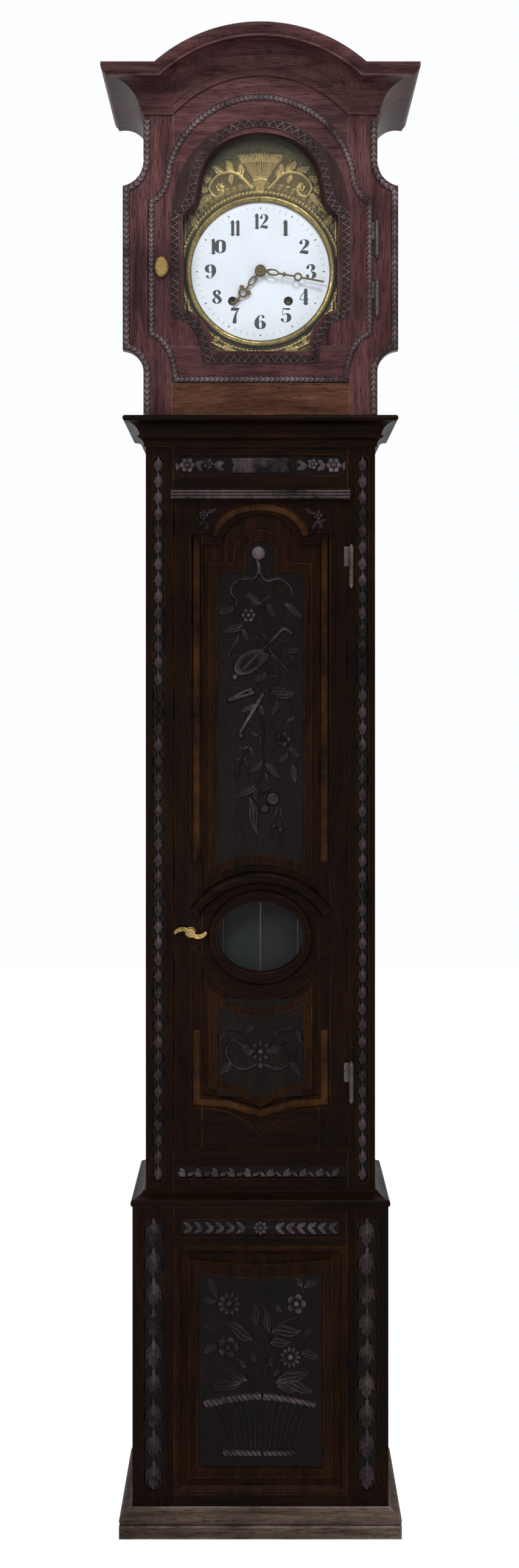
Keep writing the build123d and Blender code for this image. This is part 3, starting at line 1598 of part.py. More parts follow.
# Motion work: wheel and pinion on the stud, hour wheel with its pipe round the centre arbor
with BuildPart() as motion_wheel:
    add(slab(-motion_distance, dial_height, -4.5, 2.5, wheel_blank(30, motion_module, 90, 2, 4, 3.5)))
    add(slab(-motion_distance, dial_height, -4.5, 8.0, pinion_blank(8, motion_module, 90 + 22.5)))
    with BuildSketch(at(-motion_distance, dial_height, 0)):
        Circle(stud_radius + arbor_clearance)
    extrude(amount=20, mode=Mode.SUBTRACT)

motion_wheel.part.label = "motion_wheel"
export_step(motion_wheel.part, "parts/motion_wheel.step")

with BuildPart() as hour_wheel:
    add(slab(0, dial_height, -9.5, 2.5, wheel_blank(32, motion_module, -90, 2, 6.5, 4)))
    add(round_bar(0, dial_height, -9.5, hour_hand_back - hand_thickness - 1, hour_pipe_radius))
    with BuildSketch(at(0, dial_height, 0)):
        Circle(centre_arbor_radius + arbor_clearance)
    extrude(amount=80, mode=Mode.SUBTRACT)

hour_wheel.part.label = "hour_wheel"
export_step(hour_wheel.part, "parts/hour_wheel.step")

# Going train above the centre: third wheel and escape wheel
with BuildPart() as third_wheel:
    add(round_bar(0, third_height, arbor_back, arbor_front, stud_radius))
    add(slab(0, third_height, centre_wheel_back + 1.5, 5.5, pinion_blank(8, third_module, 180 + 22.5)))
    add(slab(0, third_height, third_wheel_back, third_wheel_thickness, wheel_blank(56, escape_module, 0, 2, 5, 4)))

third_wheel.part.label = "third_wheel"
export_step(third_wheel.part, "parts/third_wheel.step")

escape_teeth = 30
escape_root = escape_radius - 3

with BuildPart() as escape_wheel:
    add(round_bar(0, escape_height, arbor_back, arbor_front, stud_radius))
    add(slab(0, escape_height, third_wheel_back + 1.5, 5.5, pinion_blank(8, escape_module, 180 + 22.5)))
    with BuildSketch(at(0, escape_height, escape_wheel_back)):
        with BuildLine():
            Polyline(
                *[
                    (radius * sin(radians(angle)), radius * cos(radians(angle)))
                    for tooth in range(escape_teeth)
                    for angle, radius in (
                        (12 * tooth, escape_root),
                        (12 * tooth + 9, escape_radius),
                        (12 * tooth + 10, escape_root),
                    )
                ],
                close=True,
            )
        make_face()
        Circle(escape_root - 2.5, mode=Mode.SUBTRACT)
        Circle(4.5)
        with Locations(Location((0, 0), 45), Location((0, 0), 135)):
            Rectangle(2 * escape_root - 4, 2.4)
    extrude(amount=escape_wheel_thickness)

escape_wheel.part.label = "escape_wheel"
export_step(escape_wheel.part, "parts/escape_wheel.step")

# Anchor with its arbor, crutch and fork; the pallets stand just off the wheel
pallet_radius = escape_radius + pallet_gap
pallet_x = pallet_radius * sin(radians(46))
pallet_z = escape_height + pallet_radius * cos(radians(46)) - pendulum_pivot
crutch_drop = 42.0

with BuildPart() as anchor:
    add(round_bar(0, pendulum_pivot, arbor_back, arbor_front - 3.5, stud_radius))
    with BuildSketch(at(0, pendulum_pivot, escape_wheel_back + 0.5)):
        with BuildLine():
            Polyline(
                (0, 6),
                (13, 4),
                (pallet_x + 5.5, -4),
                (pallet_x + 2.6, pallet_z - 0.5),
                (pallet_x, pallet_z),
                (pallet_x - 0.8, -6.5),
                (10.5, -3.5),
                (0, -4),
            )
            mirror(about=Plane.YZ)
        make_face()
    extrude(amount=escape_wheel_thickness + 1)
    with BuildSketch(at(0, pendulum_pivot, arbor_front - 1.0)):
        Circle(5)
        with Locations((0, -crutch_drop / 2)):
            Rectangle(5, crutch_drop)
        with Locations((0, -crutch_drop)):
            Rectangle(12, 4)
    extrude(amount=2)
    with BuildSketch(at(0, pendulum_pivot, arbor_front - 2.0)):
        with Locations(
            (rod_radius + 0.4 + 1.25, -crutch_drop),
            (-rod_radius - 0.4 - 1.25, -crutch_drop),
        ):
            Rectangle(2.5, 4)
    extrude(amount=arbor_front - 2.0 - pendulum_y + 4)

anchor.part.label = "anchor"
export_step(anchor.part, "parts/anchor.step")

# Pendulum: hook eye, rod with a stirrup round the hand arbor, bob and rating nut
loop_outer_radius = loop_inner_radius + 3

with BuildPart() as pendulum_rod:
    with BuildSketch(at(0, pendulum_pivot, pendulum_y + 1.5)):
        Circle(4)
        Circle(eye_pin_radius + arbor_clearance, mode=Mode.SUBTRACT)
    extrude(amount=3)
    with BuildSketch(at(0, dial_height, pendulum_y + 1.5)):
        Circle(loop_outer_radius)
        Circle(loop_inner_radius, mode=Mode.SUBTRACT)
    extrude(amount=3)
    with BuildSketch(Plane(origin=(0, pendulum_y, dial_height + loop_outer_radius - 1))):
        Circle(rod_radius)
    extrude(amount=pendulum_rise - loop_outer_radius - 2)
    with BuildSketch(Plane(origin=(0, pendulum_y, dial_height - loop_outer_radius + 1))):
        Circle(rod_radius)
    extrude(amount=-(pendulum_length + bob_radius + 12 - pendulum_rise - loop_outer_radius + 1))
    with BuildSketch(Plane(origin=(0, pendulum_y, pendulum_pivot - pendulum_length - bob_radius - joint_gap))):
        RegularPolygon(radius=8, side_count=6)
    extrude(amount=-6)

pendulum_rod.part.label = "pendulum_rod"
export_step(pendulum_rod.part, "parts/pendulum_rod.step")

bob_height = pendulum_pivot - pendulum_length

with BuildPart() as pendulum_bob:
    with BuildSketch(Plane(origin=(0, pendulum_y, bob_height), x_dir=(1, 0, 0), z_dir=(0, 0, 1))):
        with BuildLine():
            Line((0, bob_thickness / 2), (0, -bob_thickness / 2))
            ThreePointArc(
                (0, -bob_thickness / 2), (bob_radius * 0.55, -bob_thickness * 0.37), (bob_radius, -1.5)
            )
            Line((bob_radius, -1.5), (bob_radius, 1.5))
            ThreePointArc(
                (bob_radius, 1.5), (bob_radius * 0.55, bob_thickness * 0.37), (0, bob_thickness / 2)
            )
        make_face()
    revolve(axis=Axis((0, pendulum_y, bob_height), (0, 1, 0)), revolution_arc=360)
    with BuildSketch(Plane(origin=(0, pendulum_y, bob_height - bob_radius - 1))):
        Circle(rod_radius + arbor_clearance)
    extrude(amount=2 * bob_radius + 2, mode=Mode.SUBTRACT)

pendulum_bob.part.label = "pendulum_bob"
export_step(pendulum_bob.part, "parts/pendulum_bob.step")


# Barrels: arbor with winding square, grooved drum between flanges
def line_drum(x):
    """Drum and arbor of one train, squared at the front for the winding key."""
    with BuildPart() as drum:
        add(round_bar(x, winding_height, arbor_back, arbor_front, barrel_arbor_radius))
        with BuildSketch(at(x, winding_height, arbor_front)):
            Rectangle(5.6, 5.6)
        extrude(amount=14)
        add(round_bar(x, winding_height, drum_ends[1], drum_ends[0], drum_radius))
        add(round_bar(x, winding_height, drum_ends[0] + flange, drum_ends[0], drum_radius + 4))
        add(round_bar(x, winding_height, drum_ends[1], drum_ends[1] - flange, drum_radius + 4))
    return drum.part


with BuildPart() as going_great_wheel:
    add(
        slab(
            -winding_x,
            winding_height,
            great_wheel_back,
            great_wheel_thickness,
            wheel_blank(96, great_module, great_angle, 2, 11, 7),
        )
    )
    with BuildSketch(at(-winding_x, winding_height, great_wheel_back)):
        Circle(barrel_arbor_radius + arbor_clearance)
    extrude(amount=great_wheel_thickness, mode=Mode.SUBTRACT)

going_great_wheel.part.label = "going_great_wheel"
export_step(going_great_wheel.part, "parts/going_great_wheel.step")

with BuildPart() as going_drum:
    add(line_drum(-winding_x))
    with BuildSketch(at(-winding_x, winding_height, drum_ends[0])):
        with BuildLine():
            Polyline(*tooth_ring(18, 2.0, 0, 0.2, 0.1, 1.2, 1.2), close=True)
        make_face()
    extrude(amount=drum_ends[0] - great_wheel_back - 1)

going_drum.part.label = "going_drum"
export_step(going_drum.part, "parts/going_drum.step")

with BuildPart() as strike_drum:
    add(line_drum(winding_x))
    add(
        slab(
            winding_x,
            winding_height,
            strike_wheel_back,
            great_wheel_thickness,
            wheel_blank(96, great_module, 0, 2, 11, 7),
        )
    )
    add(round_bar(winding_x, winding_height, drum_ends[0], strike_wheel_back, 11))

strike_drum.part.label = "strike_drum"
export_step(strike_drum.part, "parts/strike_drum.step")


# Weights: cast iron with a turned shoulder and a wire hook, each on its line
def clock_weight(x):
    """Cylinder with rounded edges, a neck and a hook that meets the line."""
    with BuildPart() as weight:
        with BuildSketch(Plane(origin=(x, line_y, weight_low))):
            Circle(weight_radius)
        extrude(amount=weight_height)
        fillet(weight.edges().filter_by(GeomType.CIRCLE), radius=6)
        with BuildSketch(Plane(origin=(x, line_y, weight_low + weight_height))):
            Circle(8)
        extrude(amount=8)
        with BuildSketch(Plane(origin=(x, line_y, weight_low + weight_height))):
            Circle(2)
        extrude(amount=weight_hook_top - weight_low - weight_height)
        with BuildSketch(Plane(origin=(x, line_y, weight_hook_top - 5))):
            Circle(3.5)
        extrude(amount=5)
    return weight.part


def weight_line(x):
    """Gut line from the drum down to the weight."""
    with BuildPart() as line:
        with BuildSketch(Plane(origin=(x, line_y, weight_hook_top))):
            Circle(line_radius)
        extrude(amount=winding_height - weight_hook_top)
    return line.part


with BuildPart() as going_weight:
    add(clock_weight(-line_x))

going_weight.part.label = "going_weight"
export_step(going_weight.part, "parts/going_weight.step")

with BuildPart() as strike_weight:
    add(clock_weight(line_x))

strike_weight.part.label = "strike_weight"
export_step(strike_weight.part, "parts/strike_weight.step")

with BuildPart() as going_line:
    add(weight_line(-line_x))

going_line.part.label = "going_line"
export_step(going_line.part, "parts/going_line.step")

with BuildPart() as strike_line:
    add(weight_line(line_x))

strike_line.part.label = "strike_line"
export_step(strike_line.part, "parts/strike_line.step")


# Hands: pierced brass, the minute hand on the arbor and the hour hand on the pipe
with BuildPart() as minute_hand:
    with BuildSketch(at(0, dial_height, minute_hand_back)) as minute_outline:
        with Locations(Location((0, 0), -minute_hand_angle)):
            Circle(9)
            with Locations((0, 52)):
                Rectangle(3, 106)
            with Locations((0, 20)):
                Ellipse(5.5, 11)
            with Locations((0, 62)):
                Circle(7)
            with Locations((0, 40)):
                RegularPolygon(radius=5.5, side_count=3, rotation=90)
            with Locations((0, 88)):
                Trapezoid(3.4, 34, 92.2)
        with Locations(Location((0, 0), -minute_hand_angle)):
            with Locations((0, 21)):
                Ellipse(3, 7.5, mode=Mode.SUBTRACT)
            with Locations((0, 62)):
                Circle(4, mode=Mode.SUBTRACT)
        Circle(centre_arbor_radius, mode=Mode.SUBTRACT)
    extrude(amount=hand_thickness)

minute_hand.part.label = "minute_hand"
export_step(minute_hand.part, "parts/minute_hand.step")

with BuildPart() as hour_hand:
    with BuildSketch(at(0, dial_height, hour_hand_back)):
        with Locations(Location((0, 0), -hour_hand_angle)):
            Circle(9.5)
            with Locations((0, 36)):
                Rectangle(3.2, 74)
            with Locations((0, 21)):
                Ellipse(5.5, 10)
            with Locations((0, 46)):
                Circle(8)
            with Locations((7, 40), (-7, 40)):
                Circle(4)
            with Locations((0, 62)):
                RegularPolygon(radius=6, side_count=3, rotation=90)
        with Locations(Location((0, 0), -hour_hand_angle)):
            with Locations((0, 21.5)):
                Ellipse(3, 6.5, mode=Mode.SUBTRACT)
            with Locations((0, 46)):
                Circle(4.6, mode=Mode.SUBTRACT)
        Circle(hour_pipe_radius + arbor_clearance, mode=Mode.SUBTRACT)
    extrude(amount=hand_thickness)

hour_hand.part.label = "hour_hand"
export_step(hour_hand.part, "parts/hour_hand.step")
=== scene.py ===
from math import cos, pi, radians, sin

import bpy
import numpy as np
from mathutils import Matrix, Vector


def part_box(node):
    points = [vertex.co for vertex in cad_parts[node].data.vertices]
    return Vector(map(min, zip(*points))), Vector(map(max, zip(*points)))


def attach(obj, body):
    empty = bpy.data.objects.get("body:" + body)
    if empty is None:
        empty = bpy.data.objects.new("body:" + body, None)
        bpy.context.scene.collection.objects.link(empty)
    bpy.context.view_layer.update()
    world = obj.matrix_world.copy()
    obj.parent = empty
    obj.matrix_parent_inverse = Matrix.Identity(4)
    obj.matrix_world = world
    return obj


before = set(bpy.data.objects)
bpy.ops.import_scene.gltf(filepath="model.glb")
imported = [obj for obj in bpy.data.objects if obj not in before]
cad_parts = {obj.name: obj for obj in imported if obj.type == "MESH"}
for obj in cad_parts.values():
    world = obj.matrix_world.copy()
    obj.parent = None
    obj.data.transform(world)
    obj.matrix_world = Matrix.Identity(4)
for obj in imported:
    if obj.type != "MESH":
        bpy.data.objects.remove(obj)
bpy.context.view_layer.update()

# Camera: it stands about 2.9 m in front of the clock at the height of the trunk door,
# looking level, so the case shows no tilt.
camera_data = bpy.data.cameras.new("camera")
camera_data.lens = 41.35
camera_data.sensor_width = 36.0
camera_data.shift_x = -0.0006
camera_data.shift_y = -0.0536
camera = bpy.data.objects.new("camera", camera_data)
camera.location = (0.0, -2.98, 1.331)
camera.rotation_euler = (pi / 2, 0.0, 0.0)
bpy.context.scene.collection.objects.link(camera)
bpy.context.scene.camera = camera
bpy.context.scene.view_settings.view_transform = "Standard"


# Studio: a pale floor and an even white world. Four soft lamps light the clock: one high on
# the left, one above it, and two weak ones on the right and low in front.
def node_adder(tree):
    """A function that adds a node to this tree, sets it, and links each source to it."""

    def add(kind, links=(), **settings):
        node = tree.nodes.new(kind)
        for key, value in settings.items():
            if hasattr(node, key):
                setattr(node, key, value)
            else:
                node.inputs[key.replace("_", " ")].default_value = value
        for source, socket, target in links:
            tree.links.new(source.outputs[socket], node.inputs[target])
        return node

    return add


def new_material(name):
    """A material with nodes, its shader and a function that adds nodes and links them."""
    material = bpy.data.materials.new(name)
    material.use_nodes = True
    tree = material.node_tree
    return material, tree.nodes["Principled BSDF"], tree, node_adder(tree)


def colour_ramp(add, links, stops):
    """A colour ramp with these (place, colour) stops."""
    node = add("ShaderNodeValToRGB", links)
    ramp = node.color_ramp
    while len(ramp.elements) < len(stops):
        ramp.elements.new(0.5)
    for element, (place, colour) in zip(ramp.elements, stops):
        element.position = place
        element.color = (*colour, 1.0)
    return node


def mixed(add, tree, factor, low, high, blend="MIX"):
    """Mix of two colour outputs by a factor output, or in full where there is no factor."""
    node = add("ShaderNodeMix", data_type="RGBA", blend_type=blend)
    if factor is None:
        node.inputs[0].default_value = 1.0
    else:
        tree.links.new(factor, node.inputs[0])
    tree.links.new(low, node.inputs[6])
    tree.links.new(high, node.inputs[7])
    return node


def seen_part(add):
    """1 for a ray from the camera, from a reflection or through glass, and 0 for the rest."""
    path = add("ShaderNodeLightPath")
    direct = [(path, "Is Camera Ray", 0), (path, "Is Glossy Ray", 1)]
    either = add("ShaderNodeMath", direct, operation="MAXIMUM")
    through = [(either, 0, 0), (path, "Is Transmission Ray", 1)]
    return add("ShaderNodeMath", through, operation="MAXIMUM")


floor_material, floor_shader, floor_tree, floor_add = new_material("studio_floor")
floor_shader.inputs["Base Color"].default_value = (0.86, 0.86, 0.87, 1.0)
floor_shader.inputs["Roughness"].default_value = 0.8
floor_glow = floor_add("ShaderNodeMath", [(seen_part(floor_add), 0, 0)], operation="MULTIPLY")
floor_glow.inputs[1].default_value = 0.78
floor_shader.inputs["Emission Color"].default_value = (1.0, 1.0, 1.0, 1.0)
floor_tree.links.new(floor_glow.outputs[0], floor_shader.inputs["Emission Strength"])
floor_mesh = bpy.data.meshes.new("floor")
floor_mesh.from_pydata([(-6, -6, 0), (6, -6, 0), (6, 6, 0), (-6, 6, 0)], [], [(0, 1, 2, 3)])
floor = bpy.data.objects.new("floor", floor_mesh)
floor_mesh.materials.append(floor_material)
bpy.context.scene.collection.objects.link(floor)

world = bpy.data.worlds.new("studio")
world.use_nodes = True
bpy.context.scene.world = world
background = world.node_tree.nodes["Background"]
world_add = node_adder(world.node_tree)
world_seen = [(seen_part(world_add), 0, "Value")]
world_level = world_add("ShaderNodeMapRange", world_seen, To_Min=0.22, To_Max=1.0)
world.node_tree.links.new(world_level.outputs[0], background.inputs["Strength"])
background.inputs["Color"].default_value = (0.97, 0.985, 1.0, 1.0)

for name, place, turn, size, power, tint in (
    ("key_lamp", (-1.6, -2.7, 3.3), (56, 0, -30), 0.8, 40.0, (1.0, 0.98, 0.96)),
    ("top_lamp", (0.5, -1.9, 3.9), (34, 0, 14), 0.7, 46.0, (0.90, 0.95, 1.0)),
    ("side_lamp", (2.3, -2.0, 1.9), (76, 0, 48), 1.0, 16.0, (0.93, 0.96, 1.0)),
    ("low_lamp", (-0.7, -3.2, 0.9), (84, 0, -12), 1.2, 16.0, (1.0, 0.97, 0.94)),
):
    lamp_data = bpy.data.lights.new(name, "AREA")
    lamp_data.shape = "SQUARE"
    lamp_data.size = size
    lamp_data.energy = power
    lamp_data.color = tint
    lamp = bpy.data.objects.new(name, lamp_data)
    lamp.location = place
    lamp.rotation_euler = [radians(angle) for angle in turn]
    bpy.context.scene.collection.objects.link(lamp)


# Oak of the trunk and base: nearly black from age and wax, brown where hands and dusters
# have worn the edges. The long way of the grain follows each board.
def oak(name, along, dark, mid, wear_and_highlight, rough=0.36, edge_width=0.0022, wear_and_highlight_amount=0.75, shine=0.03):
    """Waxed oak. Colour: long noise streaks from dark to mid, cloudy patches, fine pores, and a
    second colour where a rounded normal leaves the true one or the carving is high: wear on
    the trunk and base, a pale painted highlight on the carvings, and both on the hood."""
    material, shader, tree, add = new_material(name)
    place = add("ShaderNodeTexCoord")
    stretch = {"x": (2.2, 26.0, 26.0), "y": (26.0, 2.2, 26.0), "z": (26.0, 26.0, 2.2)}[along]
    lengthwise = add("ShaderNodeMapping", [(place, "Object", "Vector")], Scale=stretch)
    streak = add("ShaderNodeTexNoise", [(lengthwise, 0, "Vector")], Scale=2.4, Detail=7.0,
        Roughness=0.62, Distortion=0.6)
    pores = add("ShaderNodeTexNoise", [(lengthwise, 0, "Vector")], Scale=22.0, Detail=3.0,
        Roughness=0.7)
    cloud = add("ShaderNodeTexNoise", [(place, "Object", "Vector")], Scale=7.0, Detail=4.0,
        Roughness=0.6)
    wood = colour_ramp(add, [(streak, "Fac", "Fac")], ((0.32, dark), (0.68, mid)))
    patch = colour_ramp(add, [(cloud, "Fac", "Fac")],
        ((0.3, (0.62, 0.6, 0.6)), (0.72, (1.35, 1.28, 1.2))))
    patched = mixed(add, tree, None, wood.outputs[0], patch.outputs[0], "MULTIPLY")
    pore_line = colour_ramp(add, [(pores, "Fac", "Fac")],
        ((0.36, (0.35, 0.35, 0.35)), (0.5, (1.0, 1.0, 1.0))))
    pored = mixed(add, tree, None, patched.outputs[2], pore_line.outputs[0], "MULTIPLY")
    rounded = add("ShaderNodeBevel", samples=6, Radius=edge_width)
    true_normal = add("ShaderNodeNewGeometry")
    agree = add("ShaderNodeVectorMath", [(rounded, 0, 0), (true_normal, "Normal", 1)],
        operation="DOT_PRODUCT")
    edge = add("ShaderNodeMapRange", [(agree, "Value", "Value")], From_Min=0.985, From_Max=0.80)
    high = add("ShaderNodeAttribute", attribute_name="high")
    high_edge = add("ShaderNodeMapRange", [(high, "Fac", "Value")], From_Min=0.45, From_Max=1.0)
    either = add("ShaderNodeMath", [(edge, 0, 0), (high_edge, 0, 1)], operation="MAXIMUM")
    breakup_noise = add("ShaderNodeTexNoise", [(place, "Object", "Vector")], Scale=14.0, Detail=5.0,
        Roughness=0.7)
    breakup_level = add("ShaderNodeMapRange", [(breakup_noise, "Fac", "Value")], From_Min=0.36, From_Max=0.66)
    wear_and_highlight_part = add("ShaderNodeMath", [(either, 0, 0), (breakup_level, 0, 1)], operation="MULTIPLY")
    amount = add("ShaderNodeMath", [(wear_and_highlight_part, 0, 0)], operation="MULTIPLY")
    amount.inputs[1].default_value = wear_and_highlight_amount
    # Second colour on edges and high places: wear, and on the carved and hood oak a painted
    # highlight.
    wear_and_highlight_colour = colour_ramp(
        add, [(streak, "Fac", "Fac")], ((0.3, tuple(0.55 * part for part in wear_and_highlight)), (0.7, wear_and_highlight))
    )
    final = mixed(add, tree, amount.outputs[0], pored.outputs[2], wear_and_highlight_colour.outputs[0])
    tree.links.new(final.outputs[2], shader.inputs["Base Color"])
    rough_level = add("ShaderNodeMapRange", [(cloud, "Fac", "Value")], To_Min=rough - 0.12,
        To_Max=rough + 0.14)
    tree.links.new(rough_level.outputs[0], shader.inputs["Roughness"])
    relief = add("ShaderNodeMath", [(pores, "Fac", 0), (streak, "Fac", 1)], operation="ADD")
    bump = add("ShaderNodeBump", [(relief, 0, "Height")], Strength=0.32, Distance=0.0009)
    tree.links.new(bump.outputs[0], shader.inputs["Normal"])
    shader.inputs["Specular IOR Level"].default_value = shine
    return material


def dress(material, *nodes):
    """Gives these CAD nodes the material."""
    for node in nodes:
        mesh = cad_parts[node].data
        mesh.materials.clear()
        mesh.materials.append(material)


black_brown = (0.0028, 0.0012, 0.0008)
brown = (0.0115, 0.0044, 0.0021)
amber = (0.13, 0.050, 0.015)
oak_upright = oak("dark_oak_upright", "z", black_brown, brown, amber)
oak_level = oak("dark_oak_level", "x", black_brown, brown, amber)
oak_field = oak("dark_oak_field", "z", (0.0045, 0.0018, 0.0010), (0.021, 0.0078, 0.0026),
    (0.15, 0.056, 0.013))
oak_side = oak("dark_oak_side", "z", (0.0045, 0.0022, 0.0016), (0.016, 0.0072, 0.0042), amber)
dress(oak_upright, "trunk_stiles", "base_stiles", "door_stiles")
dress(oak_level, "trunk_rails", "base_rails", "door_rails", "waist_cornice", "shoulder_moulding")
dress(oak_level, "door_mouldings", "lenticle_ring")
dress(oak_field, "door_upper_panel", "door_lower_panel", "base_panel")
dress(oak_side, "trunk_sides", "base_sides")
plinth_oak = oak("plinth_oak", "x", (0.042, 0.027, 0.020), (0.145, 0.105, 0.085),
    (0.42, 0.36, 0.33), 0.5, 0.006, 0.95)
dress(plinth_oak, "plinth_moulding")
rough_oak = oak("rough_oak", "z", (0.0055, 0.0032, 0.0024), (0.017, 0.0095, 0.006),
    (0.05, 0.03, 0.02), 0.75)
dress(rough_oak, "back_boards", "seat_board")

# Oak of the hood: a warm red brown with a purple cast, and a pale grey-pink second colour on its
# edges that is partly wear and partly painted sheen. Its sill rail, which the door rests over, is
# a browner board.
hood_dark = (0.034, 0.0135, 0.0145)
hood_mid = (0.115, 0.050, 0.053)
# Pale grey-pink on the hood's edges: partly wear, partly painted sheen.
hood_wear_and_highlight = (0.30, 0.20, 0.20)
hood_upright = oak("hood_oak_upright", "z", hood_dark, hood_mid, hood_wear_and_highlight, 0.34, shine=0.05)
hood_level = oak("hood_oak_level", "x", hood_dark, hood_mid, hood_wear_and_highlight, 0.34, shine=0.05)
sill_oak = oak("sill_oak", "x", (0.036, 0.014, 0.010), (0.135, 0.062, 0.037), (0.36, 0.20, 0.11),
    0.42)
dress(hood_upright, "hood_stiles", "hood_door_stiles", "hood_boards")
dress(hood_level, "hood_arch_rail", "hood_door_arch", "hood_door_rail", "hood_cornice")
dress(sill_oak, "hood_sill_rail")


# Metals: brass gone olive with age on dial and wheels, darker on the hands, bell metal,
# forged iron for the frame and hinges, and cast iron weights on gut lines.
def metal(name, dark, light, rough, rough_spread, metallic=1.0, size=30.0, bump_strength=0.15,
        by_height=0.0):
    """Aged metal: two noises mix a dark and a light tone, the dark places are rougher, and
    by_height is the share of the tone that follows how proud a stamped place stands."""
    material, shader, tree, add = new_material(name)
    place = add("ShaderNodeTexCoord")
    broad = add("ShaderNodeTexNoise", [(place, "Object", "Vector")], Scale=size, Detail=6.0,
        Roughness=0.65)
    fine = add("ShaderNodeTexNoise", [(place, "Object", "Vector")], Scale=size * 9, Detail=3.0,
        Roughness=0.6)
    both = add("ShaderNodeMath", [(broad, "Fac", 0), (fine, "Fac", 1)], operation="ADD")
    level = add("ShaderNodeMapRange", [(both, 0, "Value")], From_Min=0.75, From_Max=1.25)
    high = add("ShaderNodeAttribute", attribute_name="high")
    raised = add("ShaderNodeMath", [(level, 0, 0)], operation="MULTIPLY")
    raised.inputs[1].default_value = 1.0 - by_height
    lifted = add("ShaderNodeMath", [(high, "Fac", 0), (raised, 0, 2)], operation="MULTIPLY_ADD")
    lifted.inputs[1].default_value = by_height
    tone = colour_ramp(add, [(lifted, 0, "Fac")], ((0.0, dark), (1.0, light)))
    tree.links.new(tone.outputs[0], shader.inputs["Base Color"])
    rough_level = add("ShaderNodeMapRange", [(level, 0, "Value")], To_Min=rough + rough_spread,
        To_Max=rough)
    tree.links.new(rough_level.outputs[0], shader.inputs["Roughness"])
    bump = add("ShaderNodeBump", [(fine, "Fac", "Height")], Strength=bump_strength, Distance=0.0005)
    tree.links.new(bump.outputs[0], shader.inputs["Normal"])
    shader.inputs["Metallic"].default_value = metallic
    return material


old_brass = metal("old_brass", (0.06, 0.043, 0.014), (0.25, 0.185, 0.062), 0.27, 0.22)
hand_brass = metal("hand_brass", (0.045, 0.033, 0.017), (0.15, 0.11, 0.050), 0.3, 0.2)
pull_brass = metal("pull_brass", (0.10, 0.068, 0.022), (0.30, 0.21, 0.078), 0.28, 0.2)
bell_bronze = metal("bell_bronze", (0.30, 0.25, 0.15), (0.50, 0.42, 0.26), 0.28, 0.15)
forged_iron = metal("forged_iron", (0.030, 0.025, 0.022), (0.085, 0.075, 0.068), 0.42, 0.2)
cast_iron = metal("cast_iron", (0.035, 0.033, 0.032), (0.10, 0.095, 0.09), 0.5, 0.25, 0.9, 50.0,
    0.5)
gut = metal("gut", (0.16, 0.10, 0.05), (0.34, 0.23, 0.12), 0.5, 0.1, 0.0, 60.0, 0.4)
dress(old_brass, "dial_surround", "dial_bezel", "pendulum_bob", "going_drum", "strike_drum",
    "escape_wheel")
dress(old_brass, "centre_wheel", "hour_wheel", "motion_wheel", "third_wheel", "going_great_wheel")
dress(hand_brass, "minute_hand", "hour_hand")
dress(pull_brass, "handle_rosette", "trunk_handle", "hood_knob")
dress(bell_bronze, "bell")
dress(forged_iron, "movement_cage", "movement_bars", "bell_stand", "hammer", "anchor",
    "pendulum_rod")
dress(forged_iron, "trunk_hinge_pins", "door_hinge_barrels", "hood_hinge_pins",
    "hood_hinge_barrels")
dress(cast_iron, "going_weight", "strike_weight")
dress(gut, "going_line", "strike_line")

# Glass of the hood door and the lenticle: thin old window glass with slow waves in it, held
# in a rebate behind the wood.
glass, glass_shader, glass_tree, glass_add = new_material("old_glass")
glass_place = glass_add("ShaderNodeTexCoord")
glass_wave = glass_add("ShaderNodeTexNoise", [(glass_place, "Object", "Vector")], Scale=9.0,
    Detail=1.0)
glass_bump = glass_add("ShaderNodeBump", [(glass_wave, "Fac", "Height")], Strength=0.12,
    Distance=0.002)
glass_tree.links.new(glass_bump.outputs[0], glass_shader.inputs["Normal"])
glass_shader.inputs["Base Color"].default_value = (0.45, 0.50, 0.50, 1.0)
glass_shader.inputs["Roughness"].default_value = 0.03
glass_shader.inputs["Alpha"].default_value = 0.03
glass_shader.inputs["Specular IOR Level"].default_value = 0.12
dress(glass, "hood_glass", "lenticle_glass")

# Enamel plate: a domed copper disc under white enamel with a blue cast and a slightly
# uneven glaze, held by the brass bezel.
enamel, enamel_shader, enamel_tree, enamel_add = new_material("dial_enamel")
enamel_place = enamel_add("ShaderNodeTexCoord")
enamel_cloud = enamel_add("ShaderNodeTexNoise", [(enamel_place, "Object", "Vector")], Scale=16.0,
    Detail=4.0)
enamel_tone = colour_ramp(
    enamel_add, [(enamel_cloud, "Fac", "Fac")],
        ((0.3, (0.70, 0.745, 0.80)), (0.7, (0.78, 0.825, 0.88)))
)
enamel_tree.links.new(enamel_tone.outputs[0], enamel_shader.inputs["Base Color"])
enamel_shader.inputs["Roughness"].default_value = 0.3
enamel_shader.inputs["Specular IOR Level"].default_value = 0.3
enamel_bump = enamel_add("ShaderNodeBump", [(enamel_cloud, "Fac", "Height")], Strength=0.1,
    Distance=0.001)
enamel_tree.links.new(enamel_bump.outputs[0], enamel_shader.inputs["Normal"])
dress(enamel, "enamel_dial")


# Carved ground of the upper door panel: a trophy of lute, pipe and horn on ribbons, with
# flowers and long leaves, cut about 4 mm proud of a punched ground. One piece of oak.
fine_pitch = 0.9
sunk_ground = -73.0


def new_relief(low_x, high_x, low_z, high_z, pitch):
    """A flat relief: grid lines every pitch mm in x and z, and a height of zero everywhere."""
    across = np.linspace(low_x, high_x, int((high_x - low_x) / pitch) + 1)
    upward = np.linspace(low_z, high_z, int((high_z - low_z) / pitch) + 1)
    x, z = np.meshgrid(across, upward)
    return {"across": across, "upward": upward, "x": x, "z": z, "height": np.zeros_like(x)}


